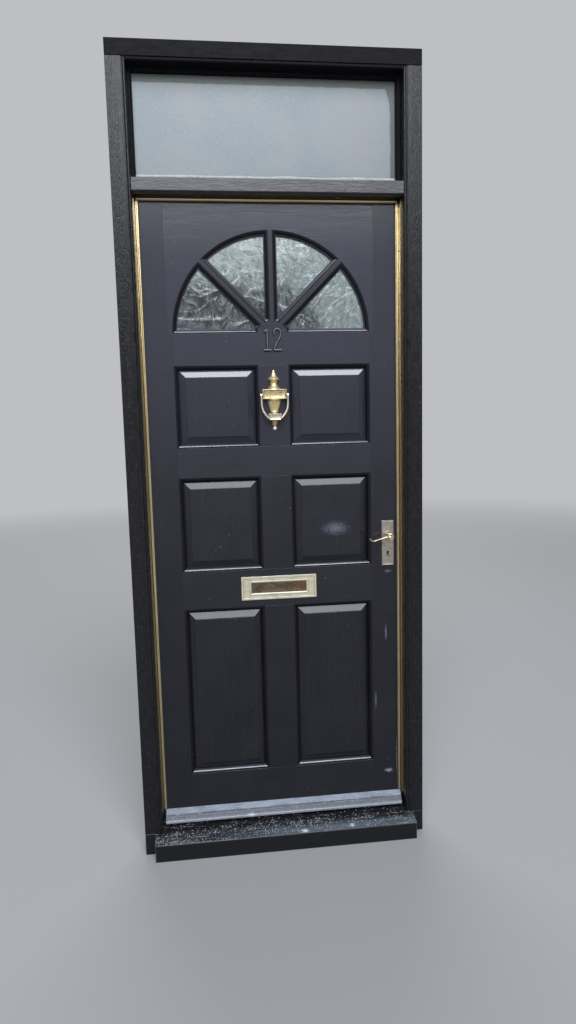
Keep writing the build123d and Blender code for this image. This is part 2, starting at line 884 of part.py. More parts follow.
def make_seals():
    """Gold strips up both sides and across the top, and the rubber behind them."""
    foot = leaf_foot + board_height + seal_foot_gap
    y_far = -seal_front - seal_flange
    section = seal_section()
    right = upright(section, stop_half, foot, soffit)
    right -= slab(outline(*seal_corner(1)), y_far, 0)
    save("right_seal_strip", right)
    save("left_seal_strip", mirror(right, about=Plane.YZ))
    top = level(section, -stop_half, stop_half, soffit)
    for side in (-1, 1):
        tip, across, down = seal_corner(side)
        below = (tip[0], down[1])
        top -= slab(outline(tip, down, below), y_far, 0)
    save("top_seal_strip", top)
    y0 = -seal_front + seal_sheet
    inner = stop_half - seal_face
    sides = [
        block(inner, inner + gasket_width, y0, -seal_touch, foot, soffit - seal_face),
        block(-inner - gasket_width, -inner, y0, -seal_touch, foot, soffit - seal_face),
    ]
    z0 = soffit - seal_face
    sides.append(block(-inner, inner, y0, -seal_touch, z0, z0 + gasket_width))
    save("seal_gaskets", Compound(children=sides))


# Weatherboard

def make_weatherboard():
    """Sloping board that throws rain clear of the sill; its lock end is splayed to swing."""
    top = leaf_foot + board_height
    fall = top - board_slope_fall
    nose_top = leaf_foot + board_nose_height
    profile = outline(
        (0, leaf_foot),
        (0, top),
        (-board_top_flat, top),
        (-board_slope_depth, fall),
        (-board_slope_depth, nose_top),
        (-board_projection, nose_top),
        (-board_projection, leaf_foot),
    )
    nose = profile.vertices().sort_by(Axis.X)[:2].sort_by(Axis.Y)[-1]
    profile = fillet(nose, board_nose_radius)
    x0 = -stop_half + board_hinge_gap
    x1 = stop_half - board_lock_gap
    board = side_section(profile, x0, x1)
    splay = upright(
        outline((x1, 0), (x1 + overcut, -board_projection), (x1 - board_lock_splay, -board_projection)),
        0,
        leaf_foot,
        top,
    )
    save("weatherboard", board - splay)


# Letter plate

def make_letter_plate():
    """Cast plate with a rimmed slot, and a flap hung behind it that opens inwards."""
    half_w, half_h = plate_width / 2, plate_height / 2
    slot_w, slot_h = slot_width / 2, slot_height / 2
    plate = slab(patch(-half_w, half_w, plate_z - half_h, plate_z + half_h), -plate_thickness, 0)
    rim_cut_w, rim_cut_h = half_w - plate_rim, half_h - plate_rim
    inner_w, inner_h = slot_w + plate_rim, slot_h + plate_rim
    sunk = patch(-rim_cut_w, rim_cut_w, plate_z - rim_cut_h, plate_z + rim_cut_h)
    sunk -= patch(-inner_w, inner_w, plate_z - inner_h, plate_z + inner_h)
    plate -= slab(sunk, -plate_thickness, -plate_thickness + plate_rim_step)
    wide_w, wide_h = slot_w + slot_chamfer, slot_h + slot_chamfer
    plate -= frustum(
        -wide_w, wide_w, plate_z - wide_h, plate_z + wide_h,
        slot_chamfer, -plate_thickness, -plate_thickness + slot_chamfer,
    )
    plate -= block(-slot_w, slot_w, -plate_thickness, 1, plate_z - slot_h, plate_z + slot_h)
    for side in (-1, 1):
        x = side * plate_bolts_x()
        boss = rod_y(x, plate_z, plate_bolt_boss_radius, 0, mid_y)
        plate += boss - rod_y(x, plate_z, plate_bolt_radius, 0, mid_y)
        ear_x = side * (slot_w + flap_overlap + flap_play)
        x0, x1 = sorted((ear_x, ear_x + side * flap_ear_width))
        low, high = flap_z - flap_ear_half, flap_z + flap_ear_half
        ear = block(x0, x1, 0, 2 * flap_knuckle_radius, low, high)
        plate += ear - rod_x(flap_y, flap_z, flap_pin_radius, x0, x1)
    save("letter_plate", plate)
    bolts = []
    for side in (-1, 1):
        x = side * plate_bolts_x()
        shank = rod_y(x, plate_z, plate_bolt_radius, mid_y / 2, leaf_thickness)
        head_y = leaf_thickness + plate_bolt_head_height
        head = rod_y(x, plate_z, plate_bolt_head_radius, leaf_thickness, head_y)
        bolts.append(shank + head)
    save("letter_plate_bolts", Compound(children=bolts))
    make_flap()


def make_flap():
    """The flap turns on a pin held by the plate's two ears."""
    half = slot_width / 2 + flap_overlap
    foot = plate_z - slot_height / 2 - flap_overlap
    sheet = block(-half, half, flap_back_gap, flap_back_gap + flap_thickness, foot, flap_z)
    knuckle = rod_x(flap_y, flap_z, flap_knuckle_radius, -half, half)
    bore = rod_x(flap_y, flap_z, flap_pin_radius + flap_play / 2, -half, half)
    save("letter_flap", sheet + knuckle - bore)
    reach = half + flap_play + flap_ear_width
    save("flap_pin", rod_x(flap_y, flap_z, flap_pin_radius, -reach, reach))


# Knocker

def knocker_bolt_levels():
    """Two bolts behind the urn, clear of the moving ring."""
    return [pivot_z, pivot_z - knocker_bolt_spacing]


def turned(points):
    """A half-round turned body, flat against the leaf, from radii and drops."""
    edge = [(radius, -drop) for radius, drop in points]
    edge = [(0, edge[0][1])] + edge + [(0, edge[-1][1])]
    body = revolve(Plane.XZ * outline(*edge), axis=Axis.Z, revolution_arc=360)
    widest = max(radius for radius, drop in points)
    front = block(-widest, widest, -widest, 0, -points[-1][1], -points[0][1])
    return Pos(0, 0, knocker_top) * (body & front)


def make_knocker():
    """Urn cast in one piece with its finials and crossbar; the ring hangs from the bar."""
    half = knocker_bar_width / 2
    bar_foot = bar_top - knocker_bar_height
    bar = block(-half, half, -knocker_bar_depth, 0, bar_foot, bar_top)
    rim = knocker_bar_rim
    sunk_y = -knocker_bar_depth + knocker_bar_sink
    bar -= block(
        -half + rim, half - rim, -knocker_bar_depth, sunk_y, bar_foot + rim, bar_top - rim
    )
    r = knocker_ball_radius
    ball = Pos(0, 0, knocker_top - knocker_ball_drop) * (Sphere(r) & block(-r, r, -r, 0, -r, r))
    body = turned(finial_outline) + turned(urn_outline) + bar + ball
    for x0, x1 in ((-half, -half + knocker_pin_depth), (half - knocker_pin_depth, half)):
        body -= rod_x(pivot_y, pivot_z, knocker_pin_radius, x0, x1)
    save("knocker_urn", body)
    make_knocker_ring(half)
    head_y = leaf_thickness + knocker_bolt_head_height
    bolts = []
    for z in knocker_bolt_levels():
        shank = rod_y(0, z, knocker_bolt_radius, 0, leaf_thickness)
        bolts.append(shank + rod_y(0, z, knocker_bolt_head_radius, leaf_thickness, head_y))
    save("knocker_bolts", Compound(children=bolts))


def ring_arm(side, inner, outer):
    """One arm in outline: straight down past the bar, then bowed in to the striker."""
    bend_z = knocker_top - ring_bend_drop
    strike_top = knocker_top - striker_drop
    strike_foot = strike_top - striker_height
    foot_x = striker_width / 2 - striker_splay
    start = (side * outer, pivot_z)
    bend = (side * outer, bend_z)
    foot = (side * foot_x, strike_foot)
    inner_foot = (side * foot_x, strike_top)
    inner_bend = (side * inner, bend_z)
    inner_start = (side * inner, pivot_z)
    edges = [
        Line(start, bend),
        SagittaArc(bend, foot, side * ring_bulge),
        Line(foot, inner_foot),
        SagittaArc(inner_foot, inner_bend, -side * ring_bulge),
        Line(inner_bend, inner_start),
        Line(inner_start, start),
    ]
    return make_face(edges)


def make_knocker_ring(bar_half):
    """The ring: two arms from ears beside the bar, meeting at the striker."""
    inner = bar_half + knocker_play
    outer = inner + ring_section
    strike_top = knocker_top - striker_drop
    strike_foot = strike_top - striker_height
    half = striker_width / 2
    foot_half = half - striker_splay
    corners = [(-half, strike_top), (half, strike_top)]
    corners += [(foot_half, strike_foot), (-foot_half, strike_foot)]
    striker = outline(*corners)
    ring = slab(striker, -ring_front, -ring_front + striker_depth)
    arm_y = -ring_front + striker_proud
    for side in (-1, 1):
        ring += slab(ring_arm(side, inner, outer), arm_y, arm_y + ring_section)
    for x0, x1 in ((inner, outer), (-outer, -inner)):
        ear = rod_x(pivot_y, pivot_z, ring_ear_radius, x0, x1)
        web = block(x0, x1, arm_y, pivot_y, pivot_z - ring_ear_radius, pivot_z)
        ring += ear + web
        ring -= rod_x(pivot_y, pivot_z, knocker_pin_radius + knocker_pin_play, x0, x1)
    save("knocker_ring", ring)
    pin_start = bar_half - knocker_pin_depth
    pins = [
        rod_x(pivot_y, pivot_z, knocker_pin_radius, pin_start, outer),
        rod_x(pivot_y, pivot_z, knocker_pin_radius, -outer, -pin_start),
    ]
    save("knocker_pins", Compound(children=pins))


# Lock

def make_lock():
    """Mortice case with forend; latch, dead bolt and follower are pieces of their own."""
    half = lock_case_thickness / 2
    forend_x = leaf_half - forend_thickness
    case = block(case_back_x, forend_x, mid_y - half, mid_y + half, case_foot, case_top)
    wall = lock_case_wall
    inner_half = half - wall
    case -= block(
        case_back_x + wall, forend_x, mid_y - inner_half, mid_y + inner_half,
        case_foot + wall, case_top - wall,
    )
    y0 = mid_y - forend_width / 2
    z0 = forend_z - forend_height / 2
    case += block(forend_x, leaf_half, y0, y0 + forend_width, z0, z0 + forend_height)
    latch_half = latch_height / 2 + bolt_play
    bolt_half = dead_bolt_height / 2 + bolt_play
    y_a, y_b = mid_y - latch_thickness / 2 - bolt_play, mid_y + latch_thickness / 2 + bolt_play
    for z, half_z in ((latch_z, latch_half), (dead_bolt_z, bolt_half)):
        case -= block(forend_x, leaf_half, y_a, y_b, z - half_z, z + half_z)
    case -= rod_y(spindle_x, spindle_z, follower_radius + follower_play, 0, leaf_thickness)
    case -= key_way(0, leaf_thickness)
    save("lock_case", case)
    save("latch_bolt", latch_bolt())
    y0, y1 = mid_y - latch_thickness / 2, mid_y + latch_thickness / 2
    z0 = dead_bolt_z - dead_bolt_height / 2
    bolt = block(leaf_half - dead_bolt_length, leaf_half, y0, y1, z0, z0 + dead_bolt_height)
    notch = key_notch_width / 2
    bolt -= block(spindle_x - notch, spindle_x + notch, y0, y1, z0, z0 + key_notch_depth)
    save("dead_bolt", bolt)


def latch_bolt():
    """Bevelled spring latch; its stem passes over the follower and has a tail beside the arm."""
    y0, y1 = mid_y - latch_thickness / 2, mid_y + latch_thickness / 2
    tip = leaf_half + latch_throw
    start = tip - latch_head_length
    z0 = latch_z - latch_height / 2
    head = block(start, tip, y0, y1, z0, z0 + latch_height)
    bevel = outline(
        (tip - latch_throw, y0),
        (tip, y1 - latch_nose),
        (tip + overcut, y1 - latch_nose),
        (tip + overcut, y0 - overcut),
        (tip - latch_throw, y0 - overcut),
    )
    head -= upright(bevel, 0, z0, z0 + latch_height)
    stem_half = latch_stem_height / 2
    back = case_back_x + lock_case_wall + latch_throw + latch_back_gap
    y_a, y_b = mid_y - latch_stem_width / 2, mid_y + latch_stem_width / 2
    stem = block(back, start, y_a, y_b, latch_z - stem_half, latch_z + stem_half)
    tail_x = spindle_x - follower_arm_width / 2 - latch_arm_gap
    tail = block(back, tail_x, y_a, y_b, spindle_z + latch_tail_rise, latch_z)
    return head + stem + tail


def make_handles():
    """A lever and plate on each face, joined by a square spindle through the follower."""
    half_case = lock_case_thickness / 2
    hub = rod_y(spindle_x, spindle_z, follower_radius, mid_y - half_case, mid_y + half_case)
    arm_x = follower_arm_width / 2
    arm_y = half_case - lock_case_wall - follower_play
    arm = block(
        spindle_x - arm_x, spindle_x + arm_x, mid_y - arm_y, mid_y + arm_y,
        spindle_z, spindle_z + follower_radius + follower_arm,
    )
    side = spindle_side / 2
    y0 = -lever_out + lever_width
    y1 = leaf_thickness - y0
    square = block(
        spindle_x - side, spindle_x + side, y0, y1, spindle_z - side, spindle_z + side
    )
    save("follower", hub + arm - square)
    save("spindle", square)
    outside = lever() - square
    save("outside_lever", outside)
    save("outside_handle_plate", handle_plate())
    flip = Plane(origin=(0, mid_y, 0), x_dir=(1, 0, 0), z_dir=(0, 1, 0))
    save("inside_lever", mirror(lever(), about=flip) - square)
    save("inside_handle_plate", mirror(handle_plate(), about=flip))


def handle_plate():
    """Long cast plate with a collar for the lever's neck and a keyhole."""
    top = spindle_z + handle_plate_above_spindle
    x0 = spindle_x - handle_plate_width / 2
    x1 = x0 + handle_plate_width
    z0 = top - handle_plate_height
    plate = slab(patch(x0, x1, z0, top), -handle_plate_thickness, 0)
    front_edges = plate.faces().sort_by(Axis.Y)[0].edges()
    plate = chamfer(front_edges, handle_plate_chamfer)
    rim = 2 * handle_plate_chamfer
    front = -handle_plate_thickness
    sunk = front + handle_plate_sink
    plate -= slab(patch(x0 + rim, x1 - rim, z0 + rim, top - rim), front, sunk)
    collar_front = sunk - collar_height
    plate += rod_y(spindle_x, spindle_z, collar_radius, collar_front, sunk)
    plate -= rod_y(spindle_x, spindle_z, neck_radius + neck_play, collar_front, 0)
    return plate - key_way(front, 0)


def lever():
    """Slim scroll lever: it leaves the neck, dips, then turns up at the end."""
    half = lever_height / 2
    points = [
        (0, 0),
        (-0.30 * lever_reach, -0.30 * lever_dip),
        (-0.65 * lever_reach, -0.85 * lever_dip),
        (-0.86 * lever_reach, -lever_dip),
        (-0.97 * lever_reach, -0.62 * lever_dip),
        (-lever_reach, -0.10 * lever_dip),
    ]
    line = Spline(*[(spindle_x + x, spindle_z + z) for x, z in points])
    stroke = trace(line, line_width=lever_height)
    y0 = -lever_out
    arm = slab(stroke, y0, y0 + lever_width)
    arm += rod_y(spindle_x, spindle_z, lever_boss_radius, y0, y0 + lever_width)
    neck = rod_y(spindle_x, spindle_z, neck_radius, y0 + lever_width, -neck_end_gap)
    return arm + neck


def make_keep():
    """Keep plate let into the lock jamb's rebate."""
    y0 = mid_y - keep_width / 2
    z0 = forend_z - keep_height / 2
    x1, y1, z1 = rebate_half + keep_thickness, y0 + keep_width, z0 + keep_height
    keep = block(rebate_half, x1, y0, y1, z0, z1)
    for window in keep_windows(rebate_half, x1):
        keep -= window
    save("keep_plate", keep)


# Hinges

def knuckle_span(z, index):
    """Foot and top of one knuckle, with the running gap taken off both ends."""
    length = hinge_height / hinge_knuckles
    foot = z - hinge_height / 2 + index * length
    return foot + hinge_knuckle_gap / 2, foot + length - hinge_knuckle_gap / 2


def hinge_leaf(z, edge_x, inwards, knuckles, bore):
    """One plate of a hinge, with its own knuckles on the pin line."""
    x0, x1 = sorted((edge_x, edge_x + inwards * hinge_plate_thickness))
    y0 = pin_y - hinge_plate_width
    half = hinge_height / 2
    plate = block(x0, x1, y0, leaf_thickness, z - half, z + half)
    for index in knuckles:
        foot, top = knuckle_span(z, index)
        plate += block(x0, x1, leaf_thickness, pin_y, foot, top)
        plate += rod_z(pin_x, pin_y, hinge_barrel_radius, foot, top)
    return plate - rod_z(pin_x, pin_y, bore, z - half, z + half)


def make_hinges():
    """Three butt hinges: plates in jamb and stile, one pin each."""
    frame_knuckles = range(0, hinge_knuckles, 2)
    leaf_knuckles = range(1, hinge_knuckles, 2)
    frame_leaves = []
    door_leaves = []
    pins = []
    for z in hinge_centres:
        frame_leaves.append(hinge_leaf(z, -rebate_half, -1, frame_knuckles, hinge_pin_radius))
        bore = hinge_pin_radius + hinge_pin_play
        door_leaves.append(hinge_leaf(z, -leaf_half, 1, leaf_knuckles, bore))
        foot, top = z - hinge_height / 2, z + hinge_height / 2
        pins.append(rod_z(pin_x, pin_y, hinge_pin_radius, foot, top))
    save("hinge_frame_leaves", Compound(children=frame_leaves))
    save("hinge_door_leaves", Compound(children=door_leaves))
    save("hinge_pins", Compound(children=pins))


def main():
    os.makedirs("parts", exist_ok=True)
    make_sill()
    make_frame()
    make_toplight()
    make_seals()
    make_hinges()
    make_keep()
    make_leaf_members()
    make_panels()
    make_weatherboard()
    make_letter_plate()
    make_knocker()
    make_lock()
    make_handles()


main()
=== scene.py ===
from math import atan2, cos, pi, radians, sin

import bmesh
import bpy
from mathutils import Matrix, Vector, noise


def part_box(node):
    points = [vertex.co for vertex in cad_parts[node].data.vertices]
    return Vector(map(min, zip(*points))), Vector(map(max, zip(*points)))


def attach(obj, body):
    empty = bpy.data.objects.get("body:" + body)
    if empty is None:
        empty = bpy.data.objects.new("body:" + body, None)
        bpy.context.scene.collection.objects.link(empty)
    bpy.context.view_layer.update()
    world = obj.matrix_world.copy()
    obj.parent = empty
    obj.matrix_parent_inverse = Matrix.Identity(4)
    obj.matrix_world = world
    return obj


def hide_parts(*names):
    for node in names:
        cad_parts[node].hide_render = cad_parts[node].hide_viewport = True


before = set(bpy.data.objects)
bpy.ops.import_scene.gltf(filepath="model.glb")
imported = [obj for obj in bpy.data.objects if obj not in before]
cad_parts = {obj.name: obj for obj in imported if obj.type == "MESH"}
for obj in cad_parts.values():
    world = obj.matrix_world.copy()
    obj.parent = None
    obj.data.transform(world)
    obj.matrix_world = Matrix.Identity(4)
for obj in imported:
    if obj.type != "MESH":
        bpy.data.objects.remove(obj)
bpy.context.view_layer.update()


# Frame: jambs and head of timber, mitred at the bead and wedged in their housings, with a
# transom between them. Many coats of black gloss have been brushed on and have run and crazed,
# most of all on the outer band.
def join(socket, value):
    """Link a Value to an input of a shader node, or write a plain number or colour there."""
    if isinstance(value, Value):
        socket.id_data.links.new(value.socket, socket)
    elif socket.type == "RGBA":
        socket.default_value = (*value, 1.0)
    else:
        socket.default_value = value


def feed(node, **values):
    """Join or write several inputs of a node; their names are written with underscores."""
    for key, value in values.items():
        join(node.inputs[key.replace("_", " ")], value)
    return node


class Value:
    """An output of a shader node; arithmetic on it adds a math node for each step."""

    def __init__(self, socket):
        self.socket = socket

    def node(self, kind, **values):
        """A new node in the same material."""
        return feed(self.socket.id_data.nodes.new(kind), **values)

    def step(self, operation, first, second):
        """One step of arithmetic on two values; either may be a plain number."""
        made = self.node("ShaderNodeMath")
        made.operation = operation
        join(made.inputs[0], first)
        join(made.inputs[1], second)
        return Value(made.outputs["Value"])

    def __add__(self, other):
        return self.step("ADD", self, other)

    def __sub__(self, other):
        return self.step("SUBTRACT", self, other)

    def __rsub__(self, other):
        return self.step("SUBTRACT", other, self)

    def __mul__(self, other):
        return self.step("MULTIPLY", self, other)

    def __pow__(self, other):
        return self.step("POWER", self, other)

    def __abs__(self):
        return self.step("ABSOLUTE", self, 0)

    def __lt__(self, other):
        return self.step("LESS_THAN", self, other)

    def __gt__(self, other):
        return self.step("GREATER_THAN", self, other)


def start_material(name):
    """A node material, its shader, and the object's own coordinates in metres."""
    made = bpy.data.materials.new(name)
    made.use_nodes = True
    place = made.node_tree.nodes.new("ShaderNodeTexCoord")
    return made, made.node_tree.nodes["Principled BSDF"], Value(place.outputs["Object"])


def scaled(vector, scale):
    """Coordinates stretched so that a pattern runs along the grain."""
    return Value(vector.node("ShaderNodeMapping", Vector=vector, Scale=scale).outputs["Vector"])


def noise_on(vector, scale, detail=4.0, roughness=0.6, distortion=0.0):
    """Cloudy noise between 0 and 1."""
    made = vector.node("ShaderNodeTexNoise", Vector=vector, Scale=scale, Detail=detail, Roughness=roughness)
    join(made.inputs["Distortion"], distortion)
    return Value(made.outputs["Fac"])


def spread(value, low, high, out_low=0.0, out_high=1.0):
    """A value stretched from one range to another, and held inside it."""
    made = value.node("ShaderNodeMapRange", Value=value, From_Min=low, From_Max=high)
    feed(made, To_Min=out_low, To_Max=out_high)
    return Value(made.outputs["Result"])


def most(first, second):
    """The greater of two values."""
    return first.step("MAXIMUM", first, second)


def blend(share, first, second):
    """Two colours mixed by a share; either may be a plain colour."""
    made = share.node("ShaderNodeMix")
    made.data_type = "RGBA"
    for socket, value in zip((made.inputs[0], made.inputs[6], made.inputs[7]), (share, first, second)):
        join(socket, value)
    return Value(made.outputs[2])


def soft_edges(place, radius):
    """Shading normal that rounds every arris, as a coat of paint does."""
    made = place.node("ShaderNodeBevel", Radius=radius)
    made.samples = 6
    return Value(made.outputs["Normal"])


def raised(height, depth, normal=None):
    """Bumps of a given depth in metres from a height between 0 and 1."""
    made = height.node("ShaderNodeBump", Strength=1.0, Distance=depth, Height=height)
    if normal:
        join(made.inputs["Normal"], normal)
    return Value(made.outputs["Normal"])


def axis(vector, name):
    """One coordinate of a vector."""
    return Value(vector.node("ShaderNodeSeparateXYZ", Vector=vector).outputs[name])


def face_normal(place):
    """The way a face looks, with nothing rounded."""
    return Value(place.node("ShaderNodeNewGeometry").outputs["Normal"])


def measured(operation, first, second):
    """The distance or the dot product of two vectors."""
    made = first.node("ShaderNodeVectorMath")
    made.operation = operation
    join(made.inputs[0], first)
    join(made.inputs[1], second)
    return Value(made.outputs["Value"])


def worn_edge(rounded, sharpness):
    """1 on an arris and 0 on a flat face, from how far the rounded normal leans away."""
    return spread(measured("DOT_PRODUCT", rounded, face_normal(rounded)), 1.0, sharpness)


def dress(node_name, *materials):
    """Give a CAD node its materials, the first one on every face."""
    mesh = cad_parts[node_name].data
    mesh.materials.clear()
    for made in materials:
        mesh.materials.append(made)
    for face in mesh.polygons:
        face.material_index = 0


frame_black = (0.0075, 0.0070, 0.0085)
frame_dust_and_glint = (0.13, 0.135, 0.155)
outer_band_start = 0.428
band_blur = 0.002


def frame_coat(name, gloss, smooth, rough, along):
    """Old black gloss: how strongly it shines, its roughness, and its stretch along the grain."""
    made, shader, place = start_material(name)
    grained = scaled(place, along)
    from_middle = abs(axis(place, "X"))
    outer_band = spread(from_middle, outer_band_start - band_blur, outer_band_start + band_blur)
    runs = noise_on(grained, 70, 4, 0.6, 0.8)
    brush = noise_on(scaled(grained, along), 620, 3, 0.6)
    crackle = place.node("ShaderNodeTexVoronoi", Vector=grained, Scale=150)
    crackle.feature = "DISTANCE_TO_EDGE"
    crazed = spread(Value(crackle.outputs["Distance"]), 0.0, 0.12) * outer_band
    surface = runs * 0.8 + brush * 0.25 + crazed * 0.20
    rounded = soft_edges(place, 0.0012)
    edge = worn_edge(rounded, 0.93) * spread(runs, 0.35, 0.65)
    # Painted glints: pale specks, thickest on the outer band, stand for light caught by the crazed paint.
    glint_speckle = spread(noise_on(grained, 520, 4, 0.75), 0.60, 0.70) * (outer_band * 0.6 + 0.2)
    dust_and_sheen = most(edge * 0.6, glint_speckle)
    feed(
        shader,
        Base_Color=blend(dust_and_sheen, frame_black, frame_dust_and_glint),
        Roughness=spread(runs, 0.3, 0.7, smooth, rough),
        Specular_IOR_Level=gloss,
        Normal=raised(surface, 0.0009, rounded),
    )
    return made


frame_paint = frame_coat("frame_gloss_black", 0.24, 0.20, 0.38, (1, 1, 0.4))
for name in ("left_jamb", "right_jamb"):
    dress(name, frame_paint)
sheltered_paint = frame_coat("frame_sheltered_black", 0.05, 0.42, 0.60, (0.3, 1, 1))
for name in ("head", "toplight_cover_beads", "toplight_glazing_beads"):
    dress(name, sheltered_paint)


def solid_piece(name, bm, body, finish, sharp=40):
    """A piece on its body from closed shells, smooth but for edges sharper than an angle in degrees."""
    bmesh.ops.recalc_face_normals(bm, faces=bm.faces)
    mesh = bpy.data.meshes.new(name)
    bm.to_mesh(mesh)
    bm.free()
    mesh.polygons.foreach_set("use_smooth", [True] * len(mesh.polygons))
    mesh.set_sharp_from_angle(angle=radians(sharp))
    mesh.materials.append(finish)
    piece = bpy.data.objects.new(name, mesh)
    bpy.context.collection.objects.link(piece)
    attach(piece, body)
    return piece


def add_shape(bm, shape):
    """Move a finished shape into the bmesh of its piece."""
    carried = bpy.data.meshes.new("carried")
    shape.to_mesh(carried)
    shape.free()
    bm.from_mesh(carried)
    bpy.data.meshes.remove(carried)


jamb_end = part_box("right_jamb")[1]
wedge_first = Vector((0.422, -0.0015, jamb_end.z))
wedge_last = Vector((jamb_end.x, jamb_end.y, 2.430))
wedge_size = wedge_last - wedge_first
wedge_middle = (wedge_first + wedge_last) / 2
bm = bmesh.new()
for side in (-1, 1):
    wedge = bmesh.new()
    bmesh.ops.create_cube(wedge, size=1)
    bmesh.ops.scale(wedge, vec=wedge_size, verts=wedge.verts)
    middle = (side * wedge_middle.x, wedge_middle.y, wedge_middle.z)
    bmesh.ops.translate(wedge, vec=middle, verts=wedge.verts)
    add_shape(bm, wedge)
solid_piece("head_housing_wedges", bm, "frame", frame_paint)

transom_grey = (0.105, 0.103, 0.128)
transom_dark = (0.022, 0.020, 0.026)
transom_paint, shader, place = start_material("transom_brushed_grey")
streaks = noise_on(scaled(place, (0.06, 1, 1)), 330, 4, 0.7)
ripples = noise_on(scaled(place, (0.22, 1, 1)), 130, 4, 0.66, 0.8)
patches = noise_on(scaled(place, (0.5, 1, 1)), 22, 3, 0.6)
faded = spread(streaks, 0.35, 0.72) * spread(patches, 0.25, 0.7) * spread(ripples, 0.30, 0.55, 0.35, 1.0)
feed(
    shader,
    Base_Color=blend(faded, transom_dark, transom_grey),
    Roughness=0.36,
    Normal=raised(streaks * 0.5 + ripples, 0.0011, soft_edges(place, 0.0015)),
)
dress("transom", transom_paint)


# Sill: a heavy timber sill, weathered and trodden. The top has worn through to pale specks and
# scratches towards its front edge, while the front face is still black.
def dots(vector, scale, size, share):
    """Round specks in a share of the cells of a scatter."""
    cells = vector.node("ShaderNodeTexVoronoi", Vector=vector, Scale=scale)
    near = spread(Value(cells.outputs["Distance"]), size, size * 0.6)
    chance = vector.node("ShaderNodeSeparateColor", Color=Value(cells.outputs["Color"]))
    return near * (Value(chance.outputs["Red"]) < share)


def smear(place, middle, reach):
    """A rubbed or chalky mark with a torn outline; a reach of None runs right through."""
    scale = tuple(0 if size is None else 1 / size for size in reach)
    shift = tuple(-where * factor for where, factor in zip(middle, scale))
    away = place.node("ShaderNodeMapping", Vector=place, Scale=scale, Location=shift)
    outline = measured("DISTANCE", Value(away.outputs["Vector"]), (0, 0, 0))
    return spread(outline + noise_on(place, 260, 5, 0.8, 0.8) * 3.2, 2.45, 1.75)


sill_black = (0.0085, 0.0085, 0.0105)
sill_film = (0.042, 0.046, 0.056)
sill_worn = (0.60, 0.63, 0.68)
sill_arris_highlight = (0.19, 0.215, 0.26)
sill_polish = (0.100, 0.118, 0.145)
sill_front_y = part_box("sill")[0].y
sill_scratches = ((0.055, 0.008, 0.011), (0.212, 0.014, 0.009))
sill_paint, shader, place = start_material("sill_worn_black")
on_top = spread(axis(face_normal(place), "Z"), 0.6, 0.95)
from_front = axis(place, "Y") - sill_front_y
near_front = spread(from_front, 0.075, 0.015)
rows = spread(noise_on(scaled(place, (0.12, 1, 1)), 95, 3, 0.6), 0.40, 0.60)
patches = spread(noise_on(place, 17, 3, 0.6), 0.35, 0.65)
streaks = noise_on(scaled(place, (0.1, 1, 1)), 210, 4, 0.66)
trodden = (near_front + 0.25) * (patches + 0.25)
rubbed = spread(from_front + (patches - 0.5) * 0.010, 0.036, 0.022)
rubbed = rubbed * spread(axis(place, "X"), -0.24, 0.02, 0.15, 1.0)
share = trodden * (rows + 0.25) * 0.62 * spread(rubbed, 0, 1, 1.0, 0.30)
coarse = dots(scaled(place, (0.6, 1, 1)), 260, 0.27, share * 0.6)
fine = dots(scaled(place, (0.5, 1, 1)), 430, 0.44, share)
rounded = soft_edges(place, 0.0025)
# Painted highlight: a pale line along the rounded front edge of the top.
arris_highlight = worn_edge(rounded, 0.90) * spread(patches, 0, 1, 0.5, 1.0)
worn = most(coarse, fine * 0.8)
for x, in_from_front, size in sill_scratches:
    worn = most(worn, smear(place, (x, sill_front_y + in_from_front, 0), (size * 1.6, size, None)))
worn = worn * on_top
polish = rubbed * on_top * spread(streaks, 0.3, 0.65, 0.45, 1.0)
black = blend(trodden * on_top * rows, sill_black, sill_film)
black = blend(polish, black, sill_polish)
black = blend(arris_highlight, black, sill_arris_highlight)
grain = noise_on(scaled(place, (0.06, 1, 1)), 260, 4, 0.65)
feed(
    shader,
    Base_Color=blend(worn, black, sill_worn),
    Roughness=spread(worn, 0, 1, 0.26, 0.70),
    Specular_IOR_Level=0.26,
    Normal=raised(grain - worn * 0.5, 0.0008, rounded),
)
dress("sill", sill_paint)


# Toplight: one frosted pane, darker in a band along its top and right edges, bedded in white
# sealant and held by painted beads. Rain has left specks of dirt along its foot.
def least(first, second):
    """The smaller of two values."""
    return first.step("MINIMUM", first, second)


def drawn_rod(bm, points, radii, thickness, flatten, depth):
    """A rod drawn along a line of (x, z) points in one plane, its section flattened in depth."""
    line = bpy.data.curves.new("line", "CURVE")
    line.dimensions = "3D"
    line.bevel_depth = thickness
    line.bevel_resolution = 4
    line.use_fill_caps = True
    spline = line.splines.new("NURBS")
    spline.points.add(len(points) - 1)
    for point, (x, z), radius in zip(spline.points, points, radii):
        point.co = (x, 0, z, 1)
        point.radius = radius
    spline.order_u = 4
    spline.use_endpoint_u = True
    spline.resolution_u = 10
    rod = bpy.data.objects.new("rod", line)
    bpy.context.collection.objects.link(rod)
    drawn = bpy.data.meshes.new_from_object(rod.evaluated_get(bpy.context.evaluated_depsgraph_get()))
    bpy.data.objects.remove(rod)
    shape = bmesh.new()
    shape.from_mesh(drawn)
    bpy.data.meshes.remove(drawn)
    bmesh.ops.remove_doubles(shape, verts=shape.verts, dist=1e-6)
    bmesh.ops.scale(shape, vec=(1, flatten, 1), verts=shape.verts)
    bmesh.ops.translate(shape, vec=(0, depth, 0), verts=shape.verts)
    add_shape(bm, shape)


